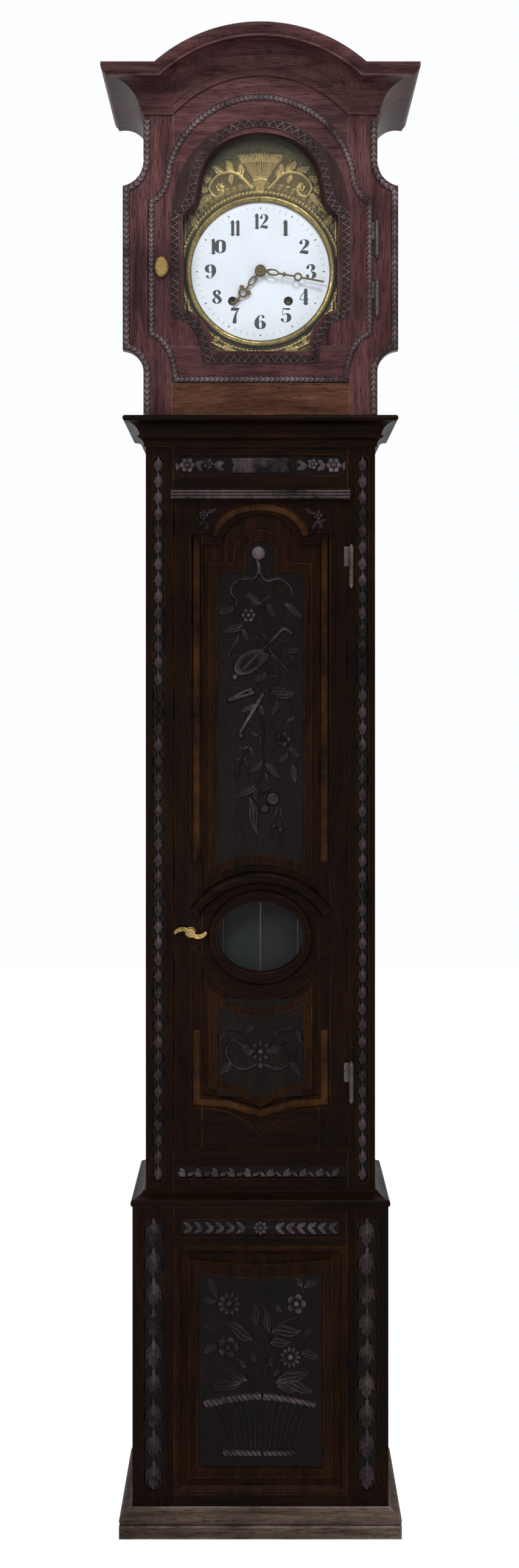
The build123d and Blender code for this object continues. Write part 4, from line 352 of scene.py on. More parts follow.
def near(relief, low_x, high_x, low_z, high_z):
    """The rows and columns of the grid between these limits, with their x and z."""
    columns = slice(*np.searchsorted(relief["across"], (low_x, high_x)))
    rows = slice(*np.searchsorted(relief["upward"], (low_z, high_z)))
    return (rows, columns), relief["x"][rows, columns], relief["z"][rows, columns]


def raise_to(relief, where, height):
    """Keeps the higher of the old and the new height."""
    relief["height"][where] = np.maximum(relief["height"][where], height)


def smooth_route(points):
    """A curve through the points: each piece is a cubic whose slopes are half the step
    between the neighbours (Catmull-Rom), six steps to a piece."""
    points = np.array(points, float)
    padded = np.vstack([2 * points[0] - points[1], points, 2 * points[-1] - points[-2]])
    share = np.linspace(0, 1, 6, endpoint=False)[:, None]
    runs = []
    for before, start, end, after in zip(padded, padded[1:], padded[2:], padded[3:]):
        bend = 2 * start + (end - before) * share
        bend = bend + (2 * before - 5 * start + 4 * end - after) * share**2
        bend = bend + (3 * start - before - 3 * end + after) * share**3
        runs.append(bend / 2)
    return np.vstack([*runs, points[-1:]])


def carve_stem(relief, points, half_width, rise=None, groove=0.0):
    """A half-round rod along a curve: height is rise times the circle of the distance
    over half_width, which narrows by a third to the far end; groove hollows its middle."""
    route = smooth_route(points)
    rise = half_width if rise is None else rise
    widths = half_width * np.linspace(1.0, 0.66, len(route))
    for (ax, az), (bx, bz), reach in zip(route[:-1], route[1:], widths):
        limits = (min(ax, bx) - reach, max(ax, bx) + reach, min(az, bz) - reach,
            max(az, bz) + reach)
        where, x, z = near(relief, *limits)
        length = (bx - ax) ** 2 + (bz - az) ** 2 + 1e-9
        along = np.clip(((x - ax) * (bx - ax) + (z - az) * (bz - az)) / length, 0, 1)
        away = np.hypot(x - ax - along * (bx - ax), z - az - along * (bz - az)) / reach
        height = rise * np.sqrt(np.clip(1 - away**2, 0, None)) * (1 - groove
            * np.clip(1 - 2.2 * away, 0, 1))
        raise_to(relief, where, height)


def carve_leaf(relief, base_x, base_z, tip_x, tip_z, width, rise=4.2, lobes=0):
    """A leaf from base to tip. Half its width is a sine bulge along it, with lobes; its height
    is a raised rim, a hollow between, and a midrib that fades towards the tip."""
    length = float(np.hypot(tip_x - base_x, tip_z - base_z))
    reach = length / 2 + width
    mid_x, mid_z = (base_x + tip_x) / 2, (base_z + tip_z) / 2
    where, x, z = near(relief, mid_x - reach, mid_x + reach, mid_z - reach, mid_z + reach)
    turn_x, turn_z = (tip_x - base_x) / length, (tip_z - base_z) / length
    along = ((x - base_x) * turn_x + (z - base_z) * turn_z) / length
    aside = (x - base_x) * turn_z - (z - base_z) * turn_x + 0.1 * width * np.sin(pi
        * np.clip(along, 0, 1) * 2)
    half = 0.5 * width * np.sin(pi * np.clip(along, 0, 1) ** 0.85) ** 0.8
    if lobes:
        half = half * (0.78 + 0.22 * np.abs(np.sin(pi * lobes * along)))
    share = np.abs(aside) / np.maximum(half, 1e-6)
    inside = (along > 0) & (along < 1) & (share < 1)
    rim = 0.38 + 0.62 * np.clip(share, 0, 1) ** 2.5
    edge = np.clip((1 - share) / 0.16, 0, 1) ** 0.5
    rib = 0.55 * np.exp(-((aside / (0.07 * width + 0.25)) ** 2)) * (1 - 0.6 * np.clip(along, 0, 1))
    raise_to(relief, where, np.where(inside, rise * (rim * edge + rib * edge), 0))


def carve_flower(relief, at_x, at_z, radius, petals, rise=4.6):
    """An open flower: the outline swells at each petal, a petal is a cupped lobe with a
    sunk line between it and the next, and a round button stands in the middle."""
    where, x, z = near(relief, at_x - radius, at_x + radius, at_z - radius, at_z + radius)
    away = np.hypot(x - at_x, z - at_z)
    swell = np.abs(np.cos(petals * np.arctan2(z - at_z, x - at_x) / 2)) ** 0.6
    share = away / (radius * (0.66 + 0.34 * swell))
    cup = (0.35 + 0.65 * np.clip(share, 0, 1) ** 1.6) * (0.35 + 0.65 * swell)
    petal = np.where(share < 1, rise * cup * np.clip((1 - share) / 0.14, 0, 1) ** 0.5, 0)
    button = rise * 1.15 * np.sqrt(np.clip(1 - (away / (0.3 * radius)) ** 2, 0, None))
    ring = -0.9 * np.exp(-(((away / radius - 0.36) / 0.06) ** 2))
    raise_to(relief, where, np.maximum(petal + np.where(share < 1, ring, 0), button))


def carve_knob(relief, at_x, at_z, radius, rise=None):
    """A round bud: the upper part of a ball."""
    where, x, z = near(relief, at_x - radius, at_x + radius, at_z - radius, at_z + radius)
    away = np.hypot(x - at_x, z - at_z) / radius
    raise_to(relief, where, (rise or 0.6 * radius) * np.sqrt(np.clip(1 - away**2, 0, None)))


def carve_rope(relief, points, half_width, twist):
    """A rope: a half-round along the curve whose height dips in slanting lines, one each
    twist mm, counted by x plus the distance across."""
    low = np.array(points).min(axis=0) - half_width
    high = np.array(points).max(axis=0) + half_width
    trial = {**relief, "height": np.zeros_like(relief["height"])}
    carve_stem(trial, points, half_width, 0.75 * half_width)
    where, x, z = near(relief, low[0], high[0], low[1], high[1])
    strand = 0.40 + 0.60 * np.abs(np.sin(pi * (x + 0.8 * z) / twist)) ** 0.7
    raise_to(relief, where, trial["height"][where] * strand)


def rough_ground(relief, seed, depth):
    """Fine unevenness left by the gouge: smoothed random numbers, up to depth mm."""
    noise = np.random.default_rng(seed).random(relief["height"].shape)
    for _ in range(2):
        noise = (noise + np.roll(noise, 1, 0) + np.roll(noise, -1, 0) + np.roll(noise, 1, 1)
            + np.roll(noise, -1, 1)) / 5
    relief["height"] = relief["height"] + depth * (noise - noise.min())


def finished(mesh, name, material, body, finish_slot):
    """An object for the mesh, with its material and body. finish_slot is not used."""
    mesh.materials.append(material)
    piece = bpy.data.objects.new(name, mesh)
    bpy.context.scene.collection.objects.link(piece)
    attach(piece, body)
    return piece


def sheet_mesh(name, x, y, z, high, keep=None, smooth=True):
    """A mesh of square faces over a grid of points in mm; its attribute high, from 0 to 1,
    says how proud a point stands. Squares with a corner outside keep are left out."""
    rows, columns = x.shape
    points = np.stack([x, y, z], axis=-1).reshape(-1, 3) / 1000
    number = np.arange(rows * columns).reshape(rows, columns)
    corners = np.stack([number[:-1, :-1], number[:-1, 1:], number[1:, 1:], number[1:, :-1]],
        axis=-1)
    if keep is not None:
        whole = keep[:-1, :-1] & keep[:-1, 1:] & keep[1:, 1:] & keep[1:, :-1]
        corners = corners[whole]
    corners = corners.reshape(-1, 4)
    used, faces = np.unique(corners, return_inverse=True)
    mesh = bpy.data.meshes.new(name)
    mesh.from_pydata(points[used].tolist(), [], faces.reshape(-1, 4).tolist())
    level = mesh.attributes.new("high", "FLOAT", "POINT")
    level.data.foreach_set("value", np.clip(high.reshape(-1)[used], 0, 1).astype(np.float32))
    mesh.polygons.foreach_set("use_smooth", [smooth] * len(mesh.polygons))
    mesh.update()
    return mesh


def relief_piece(name, relief, ground, material, body, finish_slot, top=3.0, keep=None):
    """The relief as an object standing 0.15 mm before the plane y = ground, with its rim
    sunk behind that plane; high is the height over top."""
    height = relief["height"] + 0.15
    height[[0, -1], :] = -0.2
    height[:, [0, -1]] = -0.2
    mesh = sheet_mesh(name, relief["x"], ground - height, relief["z"], relief["height"] / top, keep)
    return finished(mesh, name, material, body, finish_slot)


# Carved oak: nearly black, with a pale grey-violet second colour on the edges and high places of
# the carving that is a painted highlight.
carved_oak = oak(
    "carved_oak", "z", (0.0020, 0.0010, 0.0009), (0.0080, 0.0038, 0.0034), (0.17, 0.125, 0.135),
    0.27, 0.0012, 0.95, 0.06,
)
trophy_leaves = (
    (1.8, 1485.1, -24.4, 1501.1, 11.8),
    (9.4, 1484.3, 26.2, 1465.7, 10.5),
    (-28.6, 1452.2, -59.0, 1438.7, 12.7),
    (-30.3, 1445.5, -19.3, 1426.9, 8.8),
    (-33.7, 1437.0, -53.1, 1399.1, 7.6),
    (0.9, 1437.0, 12.7, 1431.1, 6.7),
    (12.7, 1406.7, -3.3, 1386.4, 11.8),
    (15.3, 1403.3, 26.2, 1393.2, 8.4),
    (43.9, 1405.8, 63.3, 1415.1, 10.5),
    (44.8, 1402.4, 60.5, 1386.7, 10.1),
    (8.5, 1376.3, -8.4, 1357.7, 11.8),
    (17.0, 1340.9, 41.4, 1349.3, 14.3),
    (25.4, 1335.0, 56.1, 1342.5, 13.5),
    (-42.1, 1479.2, -68.2, 1469.9, 11.8),
    (38.0, 1485.9, 69.6, 1464.0, 11.1),
    (15.3, 1501.1, 0.1, 1485.9, 5.7),
    (-9.0, 1324.2, -31.8, 1310.2, 9.6),
    (-2.0, 1322.4, 6.7, 1305.8, 8.8),
    (27.7, 1330.3, 19.8, 1304.9, 10.5),
    (-3.8, 1273.4, -16.9, 1277.8, 5.9),
    (-2.0, 1272.5, 2.3, 1257.7, 6.3),
    (-19.5, 1255.0, -36.2, 1252.4, 6.3),
    (-18.7, 1254.2, -9.0, 1241.0, 7.3),
    (-30.9, 1235.8, -44.0, 1234.0, 5.6),
    (-27.4, 1236.7, -19.5, 1222.7, 6.3),
    (-35.3, 1220.0, -41.4, 1199.9, 7.0),
    (3.2, 1232.3, -17.8, 1210.4, 10.8),
    (7.6, 1227.0, 33.0, 1206.0, 12.2),
    (-9.0, 1193.8, -36.2, 1173.7, 14.0),
    (-9.0, 1190.3, -5.5, 1165.8, 10.1),
    (-17.8, 1174.5, -4.7, 1114.2, 14.9),
    (44.3, 1246.3, 30.3, 1227.9, 9.8),
    (45.2, 1253.3, 63.6, 1239.3, 10.8),
    (50.5, 1228.8, 57.5, 1195.5, 10.1),
    (55.7, 1304.0, 40.8, 1293.5, 8.0),
    (-0.3, 1181.5, 20.7, 1192.0, 5.9),
    (30.3, 1160.5, 36.5, 1137.8, 5.2),
    (27.7, 1158.8, 22.5, 1137.8, 5.2),
    (6.7, 1214.8, 13.7, 1193.8, 5.2),
)
trophy_stems = (
    (((-5.0, 1555.1), (-3.6, 1539.9), (-10.0, 1526.4), (-28.6, 1526.4), (-43.8, 1518.0),
        (-48.0, 1504.5), (-39.6, 1494.4), (-39.1, 1480.9)), 2.0),
    (((-3.0, 1551.7), (0.1, 1534.9), (10.2, 1523.1), (30.5, 1526.4), (47.3, 1514.6),
        (50.7, 1499.4)), 2.2),
    (((15.3, 1494.4), (6.8, 1485.9), (-0.8, 1474.1), (-1.6, 1452.2), (3.5, 1433.6), (12.7, 1413.4),
        (12.7, 1403.3), (10.2, 1383.0), (7.7, 1362.8), (15.3, 1344.2), (33.8, 1335.8)), 0.9),
    (((-1.6, 1528.1), (10.2, 1514.6), (17.8, 1499.4), (15.3, 1492.7)), 0.6),
    (((-28.6, 1453.9), (-33.7, 1438.7), (-52.2, 1414.2)), 0.7),
    (((15.3, 1423.5), (33.8, 1442.9), (39.7, 1445.5), (50.7, 1438.7)), 2.2),
    (((-26.1, 1382.2), (15.3, 1423.5)), 1.9),
    (((15.3, 1410.0), (30.5, 1394.0), (45.6, 1376.3)), 2.2),
    (((30.5, 1423.5), (39.7, 1425.2), (37.2, 1416.8), (33.8, 1410.0), (43.9, 1405.0)), 1.0),
    (((12.7, 1374.6), (17.0, 1368.7), (27.1, 1367.9), (27.9, 1361.1)), 1.0),
    (((-51.4, 1331.1), (-28.6, 1343.4), (-15.1, 1349.0)), 2.5),
    (((-22.7, 1448.0), (-10.0, 1433.6), (-3.3, 1428.6), (-8.4, 1413.4)), 1.3),
    (((-51.0, 1330.3), (-28.3, 1337.3), (-10.8, 1342.5)), 2.6),
    (((3.2, 1339.0), (-31.8, 1280.4)), 3.0),
    (((3.2, 1344.3), (20.7, 1342.5), (41.7, 1326.8), (55.7, 1314.5), (64.5, 1298.8)), 0.8),
    (((17.2, 1298.8), (27.7, 1294.4), (38.2, 1300.5), (42.6, 1312.8)), 0.8),
    (((-0.3, 1307.5), (6.7, 1295.3), (27.7, 1279.5)), 0.9),
    (((3.2, 1305.8), (4.1, 1283.0), (-2.0, 1274.3), (-17.8, 1256.8), (-28.3, 1237.5),
        (-35.3, 1220.0)), 0.7),
    (((6.7, 1291.8), (5.0, 1262.0), (5.3, 1232.3), (4.1, 1214.8), (-9.0, 1192.0), (-17.8, 1172.8)),
        0.8),
    (((38.2, 1253.3), (45.2, 1249.8), (49.6, 1228.8)), 0.7),
    (((27.7, 1143.0), (20.7, 1132.5)), 0.5),
    (((35.6, 1139.5), (33.0, 1125.5)), 0.5),
    (((19.0, 1123.8), (8.5, 1104.5)), 0.9),
    (((20.7, 1122.0), (13.7, 1103.7)), 0.7),
    (((22.5, 1122.0), (19.8, 1103.2)), 0.7),
    (((30.3, 1116.8), (27.7, 1092.3)), 0.9),
    (((33.0, 1116.8), (33.0, 1090.5)), 0.8),
    (((35.6, 1116.8), (39.1, 1091.4)), 0.8),
)
trophy_flowers = (
    (-19.3, 1467.4, 12.1, 6),
    (36.5, 1267.3, 12.6, 5),
)
trophy_knobs = (
    (-3.3, 1567.8, 11.8),
    (-3.3, 1575.4, 5.7),
    (-10.0, 1564.4, 5.1),
    (4.3, 1563.5, 5.1),
    (-41.2, 1367.9, 5.7),
    (-28.6, 1379.7, 2.7),
    (-15.1, 1343.4, 5.7),
    (19.8, 1171.9, 10.8),
    (2.3, 1180.7, 3.8),
    (21.6, 1128.2, 5.2),
    (32.6, 1122.0, 5.2),
    (6.7, 1155.3, 7.7),
    (-31.8, 1273.4, 5.2),
)
panel_half = 69.6
trophy = new_relief(-panel_half, panel_half, 1064.0, 1588.0, fine_pitch)
for leaf in trophy_leaves:
    carve_leaf(trophy, *leaf)
for route, half_width in trophy_stems:
    carve_stem(trophy, route, 1.35 * half_width, min(1.7 * half_width, 4.4), 0.35)
where, grid_x, grid_z = near(trophy, -45, 20, 1365, 1420)
lute_x, lute_z = grid_x + 17, grid_z - 1392
lute_long = lute_x * 0.83 + lute_z * 0.56
lute_wide = -lute_x * 0.56 + lute_z * 0.83
share = np.hypot(lute_long / 30, lute_wide / 17)
lute_body = 3.6 * (0.45 + 0.55 * share**3) * np.clip((1 - share) / 0.08, 0, 1) ** 0.5
raise_to(trophy, where, lute_body)
for flower in trophy_flowers:
    carve_flower(trophy, *flower)
for knob in trophy_knobs:
    carve_knob(trophy, *knob)
rough_ground(trophy, 3, 0.5)
in_sunk_ground = (trophy["z"] < 1553) | (np.abs(trophy["x"]) < 22)
relief_piece(
    "trophy_carving", trophy, sunk_ground, carved_oak, "trunk_door", "dark_oak", 4.6, in_sunk_ground
)

# Carved ground of the lower door panel: a round flower between two scrolls with leaves, a
# bud and a tassel under it, cut as shallowly as the trophy.
lower = new_relief(-panel_half, panel_half, 690.0, 850.0, fine_pitch)
for side in (-1, 1):
    scroll = np.array([(8, 742), (30, 735), (50, 748), (56, 768), (44, 782), (30, 774)])
    carve_stem(lower, scroll * (side, 1), 3.2, 2.6)
    spray = np.array([(10, 770), (26, 792), (46, 800), (62, 796)])
    carve_stem(lower, spray * (side, 1), 2.6, 2.2)
    for foot_x, foot_z, tip_x, tip_z, width in (
        (30, 774, 14, 758, 12), (48, 746, 66, 726, 13), (26, 790, 12, 806, 11),
            (58, 796, 67, 778, 10),
    ):
        carve_leaf(lower, side * foot_x, foot_z, side * tip_x, tip_z, width)
    carve_flower(lower, side * 47, 765, 9, 5, 2.6)
carve_flower(lower, 0, 764, 17, 8, 3.4)
carve_knob(lower, 0, 741, 6, 3.4)
for offset in (-5, -2.5, 0, 2.5, 5):
    carve_stem(lower, [(offset * 0.5, 738), (offset * 0.9, 724), (offset * 1.2, 708)], 1.3, 1.6)
rough_ground(lower, 5, 0.5)
relief_piece("lower_panel_carving", lower, sunk_ground, carved_oak, "trunk_door", "dark_oak", 4.6)

# Spandrels of the door's head: a flower and four leaves carved straight on the rail in each
# corner beside the arch, so only the raised places and their rim are kept.
spandrel_ground = 1000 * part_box("door_rails")[0][1]
for side, word in ((-1, "left"), (1, "right")):
    low_x, high_x = sorted((side * 68.0, side * 107.0))
    corner = new_relief(low_x, high_x, 1600.0, 1645.0, fine_pitch)
    carve_flower(corner, side * 92, 1628, 8, 5, 3.0)
    for foot_x, foot_z, tip_x, tip_z in (
        (86, 1630, 70, 1640), (92, 1620, 102, 1606), (90, 1620, 84, 1604), (98, 1618, 106, 1622),
    ):
        carve_leaf(corner, side * foot_x, foot_z, side * tip_x, tip_z, 7, 2.8)
    rough_ground(corner, 9, 0.3)
    carved = corner["height"] > 0.55
    kept = np.zeros_like(carved)
    kept[1:-1, 1:-1] = carved[1:-1, 1:-1] | carved[:-2, 1:-1] | carved[2:, 1:-1]
    kept[1:-1, 1:-1] |= carved[1:-1, :-2] | carved[1:-1, 2:]
    name = "spandrel_flower_" + word
    relief_piece(name, corner, spandrel_ground, carved_oak, "trunk_door", "dark_oak", 3.0, kept)

# Base panel: a flared basket with rope rims, full of flowers and outlined leaves, cut in one
# board. The board has split down its middle, and the carving sinks into the split.
base_ground = -101.0
wide_pitch = 0.95
basket_leaves = (
    (-68.2, 376.8, -85.0, 408.4, 13.1),
    (-71.3, 370.5, -93.4, 371.6, 10.1),
    (-6.0, 331.5, -11.3, 367.4, 14.7),
    (15.1, 319.9, 5.6, 357.9, 12.6),
    (34.0, 353.7, 23.5, 362.1, 10.5),
    (69.8, 391.6, 92.0, 406.3, 11.8),
    (67.7, 393.7, 57.2, 408.4, 9.3),
    (-12.3, 309.4, -56.2, 335.1, 19.0),
    (-61.8, 305.2, -90.3, 331.5, 13.1),
    (-70.3, 302.0, -91.3, 286.2, 13.1),
    (15.1, 303.1, 48.8, 305.2, 15.8),
    (17.2, 322.0, 65.6, 323.1, 19.0),
    (69.8, 311.5, 80.4, 326.3, 9.3),
    (64.6, 287.3, 94.1, 282.0, 13.1),
    (-22.9, 265.2, -33.4, 274.6, 8.4),
    (-8.1, 272.5, -14.4, 288.3, 10.5),
    (19.3, 267.3, 13.0, 279.9, 9.7),
    (-20.8, 244.1, -62.9, 260.9, 16.9),
    (-31.3, 239.9, -85.0, 229.3, 16.9),
    (23.5, 239.9, 78.3, 257.8, 17.7),
    (36.1, 242.0, 85.6, 225.1, 16.9),
    (25.6, 235.7, 57.2, 227.2, 12.6),
    (-48.1, 233.6, -56.6, 230.4, 6.3),
    (21.4, 250.4, 28.8, 263.1, 6.3),
)
basket_stems = (
    (((-38.7, 347.3), (-27.1, 336.8), (-12.3, 319.9), (-6.0, 296.8), (-3.9, 258.8), (-6.0, 227.2)),
        0.9),
    (((17.2, 317.8), (27.7, 331.5), (40.3, 336.8), (57.2, 332.6), (66.7, 322.0)), 0.8),
    (((13.0, 301.0), (6.6, 258.8), (6.6, 227.2)), 0.9),
    (((-41.8, 279.9), (-29.2, 269.4), (-16.5, 242.0), (-12.3, 227.2)), 0.9),
    (((36.1, 263.1), (23.5, 250.4), (17.2, 237.8), (13.0, 227.2)), 0.9),
    (((-33.4, 275.7), (-22.9, 263.1)), 0.8),
    (((57.2, 343.1), (40.3, 336.8), (19.3, 317.8), (10.9, 296.8), (8.7, 258.8)), 0.8),
)
basket_flowers = (
    (-49.8, 366.3, 19.4, 10),
    (57.2, 366.3, 16.9, 5),
    (-51.3, 296.8, 17.9, 5),
    (47.7, 281.0, 17.9, 11),
)
basket = new_relief(-99.6, 99.6, 104.0, 415.6, wide_pitch)
for leaf in basket_leaves:
    carve_leaf(basket, *leaf, 4.0)
for route, half_width in basket_stems:
    carve_stem(basket, route, max(1.3 * half_width, 1.4), 2.4)
for flower in basket_flowers:
    carve_flower(basket, *flower)
for step in np.linspace(-0.92, 0.92, 15):
    foot = 57 * step
    carve_stem(basket, [(84 * step, 205 - 4 * step**2), (68 * step, 175), (foot, 135)], 2.8, 2.2)
carve_rope(basket, [(-86, 207), (-45, 214), (0, 218), (45, 213), (86, 205)], 7.4, 9.0)
carve_rope(basket, [(-56, 128), (0, 127), (54, 127)], 6.0, 8.0)
rough_ground(basket, 7, 0.7)
split = np.exp(-(((basket["x"] - 3.2 - 0.6 * np.sin(basket["z"] / 37)) / 1.2) ** 2))
basket["height"] = basket["height"] * (1 - split)
relief_piece("basket_carving", basket, base_ground, carved_oak, "case", "dark_oak", 4.6)


# Leaf chains cut in the sunk strips of the trunk and base stiles: a fan of pointed lobes that
# hangs down, each one growing out from under the fan above it.
def leaf_chain(name, low_x, high_x, low_z, high_z, count, width, ground, seed):
    """A strip of count equal fans: a short stem with a bead, a long middle lobe and three
    lobes to each side, placed as shares of the pitch and of the width."""
    strip = new_relief(low_x, high_x, low_z, high_z, wide_pitch)
    pitch = (high_z - low_z) / count
    middle = (low_x + high_x) / 2
    for number in range(count):
        head = low_z + (number + 1) * pitch - 1
        carve_knob(strip, middle, head - 0.12 * pitch, 0.16 * width, 3.4)
        carve_stem(strip, [(middle, head), (middle, head - 0.45 * pitch)], 0.13 * width, 3.8)
        for lean, drop, spread in ((0.40, 0.42, 0.30), (0.44, 0.66, 0.34), (0.22, 0.84, 0.34)):
            for side in (-1, 1):
                tip_x = middle + side * lean * width
                carve_leaf(strip, middle, head - 0.14 * pitch, tip_x, head - drop * pitch,
                    spread * width, 4.2)
        carve_leaf(strip, middle, head - 0.2 * pitch, middle, head - 0.96 * pitch, 0.42 * width,
            4.6)
    rough_ground(strip, seed, 0.4)
    strip["height"] = np.minimum(strip["height"], 4.6)
    relief_piece(name, strip, ground, carved_oak, "case", "dark_oak", 4.4)


strip_ground = -76.0
for side, word, seed in ((-1, "left", 11), (1, "right", 12)):
    low_x, high_x = sorted((side * 155.0, side * 174.0))
    name = "trunk_leaves_" + word
    leaf_chain(name, low_x, high_x, 554.0, 1723.0, 44, 17.5, strip_ground, seed)
for side, word, seed in ((-1, "left", 13), (1, "right", 14)):
    low_x, high_x = sorted((side * 154.0, side * 187.0))
    leaf_chain("base_leaves_" + word, low_x, high_x, 67.0, 503.0, 9, 31.0, base_ground, seed)


# Carved strips of the rails: flowers and leaves on the trunk's top rail beside a scalloped
# tablet, a row of small leaves on its bottom rail, and a flower between sprays on the base rail.
def rail_strip(name, half, low, high, ground, draw, seed):
    """A level strip from -half to half that draw fills with motifs."""
    strip = new_relief(-half, half, low, high, wide_pitch)
    draw(strip, (low + high) / 2)
    rough_ground(strip, seed, 0.4)
    relief_piece(name, strip, ground, carved_oak, "case", "dark_oak", 2.8)


def top_rail_motifs(strip, level):
    """Two flowers and six leaves each side, and a flat tablet with scalloped ends."""
    for side in (-1, 1):
        carve_flower(strip, side * 118, level, 13, 6)
        carve_flower(strip, side * 84, level + 2, 9, 5)
        for from_x, to_x, drop in (
            (104, 92, 8), (104, 92, -9), (75, 58, 6), (75, 58, -8), (132, 146, 4), (131, 143, -10),
        ):
            carve_leaf(strip, side * from_x, level, side * to_x, level + drop, 8)
    where, x, z = near(strip, -52, 52, level - 15, level + 15)
    edge = 44 + 3.5 * np.abs(np.sin((z - level) / 5.5))
    share = np.maximum(np.abs(x) / edge, np.abs(z - level) / 12.5)
    raise_to(strip, where, 2.0 * np.clip((1 - share) / 0.05, 0, 1))


def low_rail_motifs(strip, level):
    """Ten pairs of small leaves that lean away from the middle."""
    for number in range(10):
        foot = -121 + 26.4 * number
        lean = 9 if foot > 0 else -9
        carve_leaf(strip, foot, level - 7, foot + lean, level + 8, 9)
        carve_leaf(strip, foot + 3, level - 6, foot + 13, level, 6)
        carve_leaf(strip, foot - 3, level - 6, foot - 13, level, 6)


def base_rail_motifs(strip, level):
    """A round flower in the middle and a spray of paired leaves to each side."""
    carve_flower(strip, 0, level, 12, 8)
    for side in (-1, 1):
        carve_stem(strip, [(side * 12, level), (side * 60, level + 2), (side * 122, level)], 1.4,
            1.5)
        for step in range(6):
            foot = side * (24 + 17 * step)
            carve_leaf(strip, foot, level, foot + side * 15, level + 9, 7)
            carve_leaf(strip, foot, level, foot + side * 15, level - 9, 7)


rail_strip("trunk_top_rail_carving", 150.5, 1693.0, 1725.0, strip_ground, top_rail_motifs, 21)
rail_strip("trunk_low_rail_carving", 140.0, 560.0, 579.0, strip_ground, low_rail_motifs, 22)
rail_strip("base_rail_carving", 126.0, 474.5, 500.5, base_ground, base_rail_motifs, 23)


# Carved bands of the hood: rows of slanting leaves along the edges of the frame and of the
# door, following their hollow corners. Each band is a strip carried along its outline.
def arc_points(middle_x, middle_z, radius_x, radius_z, start, end, count):
    """Points on an ellipse arc; angles in degrees from +x towards +z."""
    angle = np.radians(np.linspace(start, end, count))
    return np.stack([middle_x + radius_x * np.cos(angle), middle_z + radius_z * np.sin(angle)],
        axis=1)


def band(name, route, width, ground, shape, body, material, finish_slot, top, step=1.1):
    """A strip along the route: the outline is walked in equal steps, its normal is the turned
    slope, and each point stands shape(distance along, distance across) before the ground."""
    route = np.array(route, float)
    runs = np.hypot(*np.diff(route, axis=0).T)
    keep = np.concatenate([[True], runs > 1e-6])
    route = route[keep]
    distance = np.concatenate([[0], np.cumsum(np.hypot(*np.diff(route, axis=0).T))])
    along = np.linspace(0, distance[-1], int(distance[-1] / step) + 1)
    x = np.interp(along, distance, route[:, 0])
    z = np.interp(along, distance, route[:, 1])
    slope_x, slope_z = np.gradient(x), np.gradient(z)
    size = np.hypot(slope_x, slope_z)
    across = np.linspace(-width / 2, width / 2, int(width / 0.9) + 1)
    grid_x = x[:, None] - (slope_z / size)[:, None] * across
    grid_z = z[:, None] + (slope_x / size)[:, None] * across
    height = shape(along[:, None] + 0 * across, across[None, :] + 0 * along[:, None])
    lift = height + 0.15
    lift[:, [0, -1]] = -0.2
    mesh = sheet_mesh(name, grid_x, ground - lift, grid_z, height / top)
    return finished(mesh, name, material, body, finish_slot)


def leaf_row(pitch, width, rise):
    """Slanting leaves one behind the other: a saw in along plus the distance from the middle."""

    def shape(along, across):
        saw = ((along + 1.3 * np.abs(across)) / pitch) % 1
        rib = 0.4 * np.exp(-((across / 0.8) ** 2))
        return rise * (0.25 + 0.75 * saw**0.7 + rib) * np.clip((1 - np.abs(2 * across / width))
            / 0.2, 0, 1)

    return shape


# Carved oak of the hood: a pale grey-pink second colour on the edges and ridges of the leaves and
# chips, a painted highlight.
hood_carved = oak(
    "hood_carved_oak", "z", (0.010, 0.0042, 0.0038), (0.036, 0.016, 0.016), (0.36, 0.26, 0.27),
    0.3, 0.0012, 0.9, 0.12,
)
hood_face = -80.0
on_door = ("hood_door", hood_carved, "hood_oak")
for side, word in ((-1, "left"), (1, "right")):
    frame_edge = np.vstack([
        [(side * 182.5, 1790.0), (side * 182.5, 1850.0)],
        arc_points(side * 222.0, 1857.0, -side * 39.5, 44.0, 6, 81, 20),
        [(side * 216.0, 1903.0), (side * 216.0, 2151.0)],
        arc_points(side * 222.0, 2205.0, -side * 39.5, -52.0, 81, 6, 20),
        [(side * 182.5, 2212.0), (side * 182.5, 2266.0)],
    ])
    route = frame_edge if side > 0 else frame_edge[::-1]
    leaves = leaf_row(9.5, 11.0, 3.0)
    name = "hood_frame_edge_" + word
    band(name, route, 11.0, hood_face, leaves, "hood", hood_carved, "hood_oak", 3.4)
door_edge = np.vstack([
    [(0.0, 1847.2), (136.0, 1847.2)],
    arc_points(182.0, 1841.0, -45.2, 80.8, 6, 80, 24),
    [(175.8, 1923.0), (175.8, 2132.0)],
    arc_points(182.0, 2185.0, -34.2, -52.2, 78, 12, 16),
    arc_points(0, 2149.5, 151.5, 151.5, 15, 90, 60),
])
whole_edge = np.vstack([door_edge, door_edge[::-1][1:] * (-1, 1)])
band("hood_door_edge", whole_edge, 9.5, hood_face, leaf_row(8.0, 9.5, 2.8), *on_door, 3.2)

# Chip-cut band round the glass: it runs up the sides, in at the shoulders and over a narrow
# round head. Over the arch it is cut in a shaped board that stands inside the door's head.
def zigzag(pitch, width, rise):
    """Chip cutting: a ridge that runs to and fro across the band, falling away on both sides."""

    def shape(along, across):
        swing = 0.36 * width * (2 * np.abs(2 * ((along / pitch) % 1) - 1) - 1)
        ridge = np.clip(1 - np.abs(across - swing) / 3.0, 0, 1)
        fillet = np.clip(1 - ((np.abs(across) - 0.46 * width) / 0.8) ** 2, 0, 1)
        return rise * np.maximum(ridge, 0.8 * fillet)

    return shape


